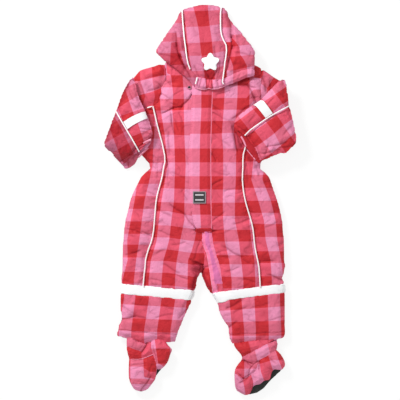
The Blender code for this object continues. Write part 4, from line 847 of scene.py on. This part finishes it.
for number in range(1, SWELL_FRAMES + 1):
    scene.frame_set(number)
depsgraph = bpy.context.evaluated_depsgraph_get()
for piece, *_ in pads:
    swollen = piece.evaluated_get(depsgraph).to_mesh()
    moved = np.empty(len(swollen.vertices) * 3)
    swollen.vertices.foreach_get("co", moved)
    piece.evaluated_get(depsgraph).to_mesh_clear()
    before = coordinates(piece)
    step = moved.reshape(-1, 3) - before
    length = np.linalg.norm(step, axis=1)
    step *= (np.minimum(length, SWELL_CAP_MM / 1000) / np.maximum(length, 1e-9))[:, None]
    piece.modifiers.clear()
    piece.vertex_groups.clear()
    set_coordinates(piece, before + step)
scene.frame_set(1)

# The tops of the booties go up inside the legs' hems.
TUCKED = ("bootie_cuff_right", "bootie_instep_right", "bootie_heel_right", "bootie_under_right",
          "bootie_ankle_left", "bootie_under_left")
TUCK_MM, TUCK_FROM_MM, TUCK_SPAN_MM = 6.0, -326.0, 8
TUCK_SINK, TUCK_ABOVE = 0.0015, 0.006

# Where the filled cloth draws an edge in or lets it out, as x, y, the shift and its reach.
LEFT_BAND_FOOT = [(x, -225 + 0.12 * (x - 104), 0, 4.5, 12) for x in range(70, 200, 20)]
LEFT_HEEL = [(166, -392, -3, 6, 11), (147, -410, -2, 4, 11), (126, -424, -2, 6, 11)]
LEFT_CUFF_TIP = [(190, 112, 1, -5, 8)]
NUDGES = {
    "upper_sleeve_right": [(-118, 298, 0, -3, 14), (-100, 304, 0, -4.5, 15), (-80, 307, 0, -6, 9)],
    "front_right": [(-12, -196, 2.5, 0, 9)],
    "knee_band_right": [(-15, -212, 2.5, 0, 12)],
    "shin_right": [(-22, -222, 2.5, 0, 12)],
    "knee_band_left": LEFT_BAND_FOOT,
    "shin_left": LEFT_BAND_FOOT,
    "bootie_heel_left": LEFT_HEEL,
    "bootie_toe_left": LEFT_HEEL,
    "forearm_outer_left": LEFT_CUFF_TIP,
    "forearm_under_left": LEFT_CUFF_TIP,
}
for piece, folds, crumpled, base_shade, chart in pads:
    add_modifier(piece, "SUBSURF", levels=1, render_levels=1)
    points, ways = coordinates(piece), normals(piece)
    name = piece.name.removesuffix("_padded")
    if name in TUCKED:
        share = np.clip((points[:, 1] * 1000 - TUCK_FROM_MM) / TUCK_SPAN_MM, 0, 1)
        points[:, 1] += TUCK_MM / 1000 * share
        points[:, 2] -= TUCK_SINK * share * (points[:, 2] > TUCK_ABOVE)
    for x, y, right, up_way, reach in NUDGES.get(name, ()):
        share = bell(np.hypot(points[:, 0] * 1000 - x, points[:, 1] * 1000 - y), reach)
        points[:, 0] += right / 1000 * share
        points[:, 1] += up_way / 1000 * share
    up = np.clip(ways[:, 2] / EDGE_SLOPE, 0, 1)
    fold_depth, fold_shade = fold_field(points, folds)
    pucker_depth, pucker_shade = pucker_field(points, ways)
    points[:, 2] -= (fold_depth + crumpled * pucker_depth) * up
    set_coordinates(piece, points)
    # painted shade: darker along the folds and small creases on top, darker on steep sides, and
    # darker all over by each piece's base share
    shade = np.maximum(np.maximum(fold_shade, crumpled * pucker_shade) * up,
                       EDGE_SHADE * (1 - up))
    layer = piece.data.attributes.new("shade", "FLOAT", "POINT")
    layer.data.foreach_set("value", (base_shade + (1 - base_shade) * shade).astype(np.float32))
    piece.data.shade_smooth()
    if chart:
        chart_check(piece, **chart)

# The gusset's own finishes, after its pink: the panel's check, and the two warmer pinks.
CHECK_SIDE, SALMON_SIDE, ROSE_SIDE = 1, 2, 3
SALMON_EDGE, FOOT_SPLIT = 0.3, 0.5
SALMON_SEAM = ((-175, -140), (0.95, 0.7))


def across_at(path, y):
    """How far across a path lies at each height y, for a path that runs downwards."""
    xs, ys = np.array(path[::-1], float).T
    return np.interp(y, ys, xs)


for face in gusset.data.polygons:
    x, y = face.center[0] * 1000, face.center[1] * 1000
    start, end = across_at(GUSSET_EDGE, y), across_at(GUSSET_SEAM, y)
    share = (x - start) / (end - start)
    if share < 0:
        face.material_index = CHECK_SIDE
    elif y < GUSSET_FOOT_MM:
        face.material_index = SALMON_SIDE if share < FOOT_SPLIT else ROSE_SIDE
    elif share < SALMON_EDGE or share > np.interp(y, *SALMON_SEAM):
        face.material_index = SALMON_SIDE


# Flap over the zip --------------------
# A folded strip of the check sewn down along its right edge, over the zip. It thins towards its
# sewn edges, and a narrow pale binding closes its left one.

FLAP_FLOOR_MM = 24.3
FLAP_FOOT_MM = -65
FLAP_TAPER_MM, FLAP_THINNEST = 9, 0.2
FLAP_CREASE_MM, FLAP_CREASES = 0.35, (22, 5, 6)
FLAP_RIGHT = ((-17, 270), (-18, 251), (-20, 220), (-21, 164), (-26, 112), (-25, 79), (-25, 45),
              (-22, -7), (-15, -50), (-9, -65))
FLAP_LEFT = ((30, 270), (28, 243), (26, 191), (25, 148), (24, 92), (25, 45), (25, -11), (26, -65))


def eased(share):
    """A share from 0 to 1 that starts and ends gently."""
    return share * share * (3 - 2 * share)


flap = copy_of("zip_flap", "zip_flap_cloth")
add_modifier(flap, "REMESH", mode="VOXEL", voxel_size=FINE_VOXEL, use_smooth_shade=True)
flap.data.materials.append(check)
points = coordinates(flap)
x, y, z = points.T * 1000
inset = np.minimum(x - across_at(FLAP_RIGHT, y), across_at(FLAP_LEFT, y) - x)
inset = np.clip(np.minimum(inset, y - FLAP_FOOT_MM), 0, FLAP_TAPER_MM) / FLAP_TAPER_MM
thin = FLAP_THINNEST + (1 - FLAP_THINNEST) * eased(inset)
creases = FLAP_CREASE_MM * np.abs(ripples(points[:, :2] * 1000, *FLAP_CREASES))
points[:, 2] = (FLAP_FLOOR_MM + (z - FLAP_FLOOR_MM - creases) * thin) / 1000
set_coordinates(flap, points)
chart_check(
    flap,
    columns=((-259, -1, -25, 3, 28), (-202, -1, -27, 3, 25), (-135, -1, -28, 0, 23),
             (-45, -1, -29, -1, 23), (0, -1, -29, -1, 23), (56, -1, -27, 2, 25)),
    rows=((0, 0, -290, -263, -235, -206, -176, -148, -115, -84, -53, -24, 8, 33, 63, 91),),
)

# The panels rise to meet the flap's left edge and its foot.
RISE_MM, RISE_REACH_MM, RISE_TOP_MM, RISE_ABOVE = 1.8, 7.0, 25.0, 0.018
UNDER_FLAP_MM = 0.2
up_the_edge, over_the_foot = np.arange(FLAP_FOOT_MM, 245, 5), np.arange(-9, 27, 4)
flap_rim = np.concatenate([
    np.column_stack([across_at(FLAP_LEFT, up_the_edge), up_the_edge]),
    np.column_stack([over_the_foot, np.full(len(over_the_foot), FLAP_FOOT_MM)]),
])
for name in ("front_right", "front_left", "gusset_left"):
    panel = bpy.data.objects[f"{name}_padded"]
    points = coordinates(panel)
    plan = points[:, :2] * 1000
    away = np.min([np.linalg.norm(plan - place, axis=1) for place in flap_rim], axis=0)
    covered = (plan[:, 0] < across_at(FLAP_LEFT, plan[:, 1])) & (plan[:, 1] > FLAP_FOOT_MM)
    highest = np.where(covered, FLAP_FLOOR_MM - UNDER_FLAP_MM, RISE_TOP_MM) / 1000
    raised = np.minimum(points[:, 2] + RISE_MM / 1000 * bell(away, RISE_REACH_MM), highest)
    points[:, 2] = np.where(points[:, 2] > RISE_ABOVE, np.maximum(points[:, 2], raised),
                            points[:, 2])
    set_coordinates(panel, points)

cloth_points, cloth_faces = [], []
for piece in [piece for piece, *_ in pads] + [flap]:
    start = len(cloth_points)
    cloth_points += [Vector(point) for point in coordinates(piece)]
    cloth_faces += [[start + i for i in face.vertices] for face in piece.data.polygons]
cloth_top = BVHTree.FromPolygons(cloth_points, cloth_faces)
BODY_HEIGHT_MM = 24.0
ABOVE_ALL = 0.1


def height_at(plan):
    """The height in millimetres of the cloth at each place, or the last one found."""
    heights, last = [], BODY_HEIGHT_MM
    for x, y in plan:
        hit = cloth_top.ray_cast(Vector((x / 1000, y / 1000, ABOVE_ALL)), Vector((0, 0, -1)))[0]
        last = hit.z * 1000 if hit else last
        heights.append(last)
    return np.array(heights)


def smoothed(values, rounds):
    """Values in a row, each drawn towards its neighbours in each round."""
    values = values.copy()
    for _ in range(rounds):
        values[1:-1] = (values[:-2] + 2 * values[1:-1] + values[2:]) / 4
    return values


def walk(path, step):
    """Even places along a smooth path, with the way along it and the way to its left at each."""
    path = np.array(path, float)
    at = np.concatenate([[0], np.cumsum(np.linalg.norm(np.diff(path, axis=0), axis=1))])
    here = np.linspace(0, at[-1], max(int(round(at[-1] / step)), 1) + 1)
    places = smoothed(np.column_stack([np.interp(here, at, axis) for axis in path.T]), rounds=2)
    ways = np.gradient(places, axis=0)
    ways = ways / np.linalg.norm(ways, axis=1)[:, None]
    return places, ways, np.column_stack([-ways[:, 1], ways[:, 0]])


def shifted(path, distance):
    """The path moved sideways: to the left of the way that it runs for a distance above 0."""
    places, _, leftwards = walk(path, step=4)
    return places + distance * leftwards


def mesh_piece(name, points, faces, finish, smooth=True):
    data = bpy.data.meshes.new(name)
    data.from_pydata((np.array(points) / 1000).tolist(), [], faces)
    data.update()
    shape = bmesh.new()
    shape.from_mesh(data)
    bmesh.ops.recalc_face_normals(shape, faces=shape.faces)
    shape.to_mesh(data)
    shape.free()
    piece = bpy.data.objects.new(name, data)
    scene.collection.objects.link(piece)
    data.materials.append(finish)
    data.polygons.foreach_set("use_smooth", [smooth] * len(data.polygons))
    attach(piece, "root")
    return piece


def tube_faces(count, ring):
    """The faces of a closed tube with that many rings of that many points."""
    faces = []
    for i in range(count - 1):
        for j in range(ring):
            a, b = i * ring + j, i * ring + (j + 1) % ring
            faces.append((a, b, b + ring, a + ring))
    return faces + [tuple(range(ring))[::-1], tuple((count - 1) * ring + j for j in range(ring))]


STRIP_STEP_MM = 2.5
# the shares of a binding's width and of its lift, over its top
BINDING_TOP = ((-0.5, 0), (-0.25, 0.8), (0, 1.0), (0.25, 0.8), (0.5, 0))


def binding(name, finish, path, width, lift=0.5, level=None, sink=1.2):
    """A narrow folded strip laid along a path: five places across, rounded, closed below."""
    places, _, leftwards = walk(path, STRIP_STEP_MM)
    middle = height_at(places) if level is None else np.full(len(places), float(level))
    section = [(-0.5, -sink), *((across, lift * up) for across, up in BINDING_TOP),
               (0.5, -sink), (0, -sink)]
    points = [(*(place + left * across * width), height + up)
              for place, left, height in zip(places, leftwards, smoothed(middle, rounds=3))
              for across, up in section]
    return mesh_piece(name, points, tube_faces(len(places), len(section)), finish)


def stitches(name, finish, paths, pitch=4.2, length=2.9, thick=0.55, lift=0.15):
    """One mesh of small spindles laid end to end along each path."""
    points, faces = [], []
    for path in paths:
        places, ways, _ = walk(path, pitch)
        middles = (places[:-1] + places[1:]) / 2
        forward = (ways[:-1] + ways[1:]) / 2
        starts, ends = middles - forward * length / 2, middles + forward * length / 2
        heights = [height_at(part) + lift for part in (starts, middles, ends)]
        for k, (way, middle) in enumerate(zip(forward, middles)):
            side = np.array((-way[1], way[0])) * thick / 2
            first = len(points)
            points.append((*starts[k], heights[0][k] - thick))
            for shift, up in ((side, 0), (side * 0, thick / 2), (-side, 0), (side * 0, -thick)):
                points.append((*(middle + shift), heights[1][k] + up))
            points.append((*ends[k], heights[2][k] - thick))
            for j in range(4):
                a, b = first + 1 + j, first + 1 + (j + 1) % 4
                faces += [(first, a, b), (first + 5, b, a)]
    return mesh_piece(name, points, faces, finish, smooth=False)


def thread_finish(name, colour):
    return mottled(name, colour, low=0.8, scale=900, roughness=0.6, detail=2)[0]


pale_cloth = plain_cloth("pale_pink_binding", (0.90, 0.33, 0.47), 0.3)
seam_cloth = plain_cloth("seam_pink", (0.84, 0.22, 0.33), 0.3)
red_thread = thread_finish("red_thread", (0.42, 0.030, 0.060))

flap_binding = binding("flap_binding", seam_cloth, FLAP_LEFT[1:], 1.8, lift=0.3, level=24.9)
flap_stitches = stitches("flap_stitches", red_thread,
                         (shifted(FLAP_RIGHT[1:], 3), shifted(FLAP_LEFT[1:], -8)))


def slope(name, finish, path, drop, steps=6, lift=0.25, thick=1.0):
    """A strip that falls smoothly from a path on one cloth to the lower cloth beside it, drop
    millimetres to the right of the way that the path runs."""
    places, _, leftwards = walk(path, STRIP_STEP_MM)
    beside = places - drop * leftwards
    high, low = (smoothed(height_at(part) + lift, rounds=6) for part in (places, beside))
    points = []
    for start, end, top, foot in zip(places, beside, high, low):
        over = [(*(start + (end - start) * s), top + (foot - top) * eased(s))
                for s in np.linspace(0, 1, steps + 1)]
        points += over + [(x, y, z - thick) for x, y, z in over[::-1]]
    return mesh_piece(name, points, tube_faces(len(places), 2 * (steps + 1)), finish)


# The foot of the flap is sewn down over the ends of the zip and of the crotch's seams.
CROTCH_SEAM = ((-9, -62), (-4, -63), (8, -63.5), (20, -63.5), (27, -63))
CROTCH_DROP_MM = 10
crotch_seam = slope("crotch_seam", check, CROTCH_SEAM, CROTCH_DROP_MM)
chart_check(crotch_seam, columns=((0, 0, -14, 56),), rows=((0, 0, 50, 90),))


# Bindings and topstitching ------------
# Narrow folded strips of pale cloth, sewn over the edges of the hood's brim, the gusset and the
# cuffs, and rows of topstitching at the hems, the bands and the seams.

BRIM_EDGE = ((-12, 252.5), (-1, 248), (13, 247.5), (20, 250.5), (27, 247.5), (40, 249),
             (55, 254.5))
BINDINGS = (
    # name, path, width, lift
    ("brim_binding", BRIM_EDGE, 2.6, 0.7),
    ("gusset_binding", [(x + 0.5, y) for x, y in GUSSET_EDGE[1:]], 1.8, 0.4),
    ("cuff_binding_right", ((-138, 96), (-130, 104), (-116, 117)), 5, 7.0),
    ("cuff_fold_right", ((-127, 127), (-120, 131.5), (-109, 134.5)), 5.5, 1.6),
    ("cuff_binding_left", ((92, 142), (98, 132), (103, 119)), 4, 0.7),
    ("cuff_edge_left", ((104, 114), (113, 103), (124, 90)), 2.6, 0.9),
    ("instep_seam_right", ((-155, -356.5), (-140, -357), (-127, -355), (-105, -346)), 1.6, 0.9),
)
for name, path, width, lift in BINDINGS:
    binding(name, pale_cloth, path, width, lift=lift)

# A dark red strip where the seams meet at the top of the inner legs, down between them: painted
# shade that fills the slit there.
shaded_red = plain_cloth("shaded_red", (0.26, 0.008, 0.018), 0.3, roughness=0.7)
CROTCH_SHADE_STRIP = ((4.5, -146), (3.5, -155), (1.5, -163))
binding("crotch_allowance", shaded_red, CROTCH_SHADE_STRIP, 5, lift=0.3, level=17, sink=2)

# Lines of grey thread across the ends of the knee bands.
BAND_ENDS = (
    ((-12.5, -202), (-20, -221)), ((-18.5, -203), (-26, -221)),
    ((27, -211), (36, -224)), ((31, -210), (35, -222)),
)
stitches("band_stitches", thread_finish("grey_thread", (0.42, 0.45, 0.52)), BAND_ENDS, pitch=3.0,
         length=3.2, thick=1.3, lift=0.3)

# The legs' hems, and the cuffs' hems, parallel to the mouths.
LEG_HEMS = (
    ((-182, -289), (-151, -293), (-117, -295), (-83, -297), (-52, -300)),
    ((66, -300), (97, -299), (129, -298), (158, -296), (189, -293)),
)
CUFF_HEMS = (
    ((-139, 112), (-157, 98.5), (-175, 84)), ((-110, 139), (-126, 126), (-137, 114)),
    ((104, 147), (116, 133), (127, 118), (134, 101), (139, 89)),
    ((79, 167), (90, 159), (103, 148.5)),
)
stitches("hem_stitches", red_thread, LEG_HEMS)
stitches("cuff_stitches", red_thread, CUFF_HEMS)


# Small fittings -----------------------
# The badge of soft moulded plastic, the metal ring half of a press stud, the woven zip tape under
# the flap, the white piping in the seams, and the reflective patches. The stud is riveted through
# the cloth, and the rest are sewn on.

GRAIN_DEPTH = 0.0002


def plastic(name, colour, roughness, grain_scale, strength):
    made, tree, shader, grain = mottled(name, colour, 0.82, grain_scale, roughness)
    emboss(tree, shader, (grain, strength, GRAIN_DEPTH))
    return made


BADGE_RAISED_MM = 29.4
BADGE_CENTRE_MM = (-1.4, 5.8)
BADGE_INSIDE_MM = (11, 10)
badge = copy_of("badge", "badge_moulding")
for name, colour, roughness in (("badge_field", (0.035, 0.032, 0.036), 0.5),
                                ("badge_border", (0.30, 0.27, 0.29), 0.45),
                                ("badge_bars", (0.62, 0.60, 0.62), 0.45)):
    badge.data.materials.append(plastic(name, colour, roughness, 600, 0.4))
for face in badge.data.polygons:
    raised = face.center.z * 1000 > BADGE_RAISED_MM and face.normal.z > LEVEL
    off_x, off_y = (abs(face.center[i] * 1000 - BADGE_CENTRE_MM[i]) for i in (0, 1))
    on_border = off_x > BADGE_INSIDE_MM[0] or off_y > BADGE_INSIDE_MM[1]
    face.material_index = (1 if on_border else 2) if raised else 0
badge.data.shade_flat()

STUD_CENTRE_MM = (-24.0, 254.0)
STUD_HOLE_MM = 3.0
STUD_DROP_MM = 2.0
stud = copy_of("press_stud", "press_stud_ring")
stud.data.materials.append(plastic("stud_metal", (0.62, 0.20, 0.28), 0.5, 900, 0.2))
# the inside of the ring's hole is painted near black: painted shade in the hole
stud.data.materials.append(plastic("stud_hole_shade", (0.01, 0.008, 0.01), 0.8, 900, 0.2))
for face in stud.data.polygons:
    off = math.dist((face.center.x * 1000, face.center.y * 1000), STUD_CENTRE_MM)
    face.material_index = 1 if off < STUD_HOLE_MM and face.normal.z > -0.5 else 0
set_coordinates(stud, coordinates(stud) - np.array((0, STUD_DROP_MM / 1000, 0)))

# The rim of the left sole, which shows beside the heel.
SOLE_RIM = ((181, -380), (166, -377), (152, -393), (138, -402), (122, -409), (110, -424),
            (111, -431), (130, -425), (150, -411), (170, -393))
SOLE_RIM_HEIGHTS_MM = (11.0, 12.25)
mesh_piece("sole_rim_left", [(x, y, z) for z in SOLE_RIM_HEIGHTS_MM for x, y in SOLE_RIM],
           tube_faces(2, len(SOLE_RIM)), rubber, smooth=False)

# the piping is white where it faces up and dark pink on its steep sides: painted shade
PIPING_COLOUR = (0.95, 0.93, 0.94, 1)
PIPING_SIDE_SHADE_COLOUR = (0.62, 0.16, 0.24, 1)
PIPING_SHADE_RISE, PIPING_LIT_RISE = 0.45, 0.8
piping_cloth = thread_finish("piping_cloth", PIPING_COLOUR[:3])
piping_tree = piping_cloth.node_tree
facing = node(piping_tree, "NewGeometry").outputs["Normal"]
rise = node(piping_tree, "SeparateXYZ", {0: facing}).outputs[2]
lit_share = node(piping_tree, "MapRange", {0: rise, 1: PIPING_SHADE_RISE, 2: PIPING_LIT_RISE}).outputs[0]
feed(piping_tree.nodes["Principled BSDF"],
     {"Base Color": blend(piping_tree, lit_share, PIPING_SIDE_SHADE_COLOUR, PIPING_COLOUR)})
zip_tape = thread_finish("zip_tape", (0.50, 0.05, 0.09))
for name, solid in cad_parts.items():
    if name == "zip" or "piping" in name:
        solid.data.materials.clear()
        solid.data.materials.append(zip_tape if name == "zip" else piping_cloth)
    if "piping" in name:
        solid.data.shade_smooth()

PATCH_COLOUR = (0.93, 0.95, 0.96)
PATCH_EDGE_DEGREES = 40
PATCHES = (
    # node, width and length of the flat cut, share of that rectangle in use, what it lies on
    ("sleeve_tape_right", 0.0195, 0.0540, 1.0, "forearm_inner_right"),
    ("sleeve_tape_left", 0.0195, 0.0460, 1.0, "forearm_inner_left"),
    ("hood_motif", 0.0410, 0.0410, 0.62, "hood_centre"),
)
patch_finish = reflective_tape("reflective_patch", PATCH_COLOUR)
for name, width, length, share, under in PATCHES:
    patch = copy_of(name, f"{name}_patch")
    patch.data.materials.append(patch_finish)
    in_view(patch)
    bpy.ops.object.shade_smooth_by_angle(angle=math.radians(PATCH_EDGE_DEGREES))
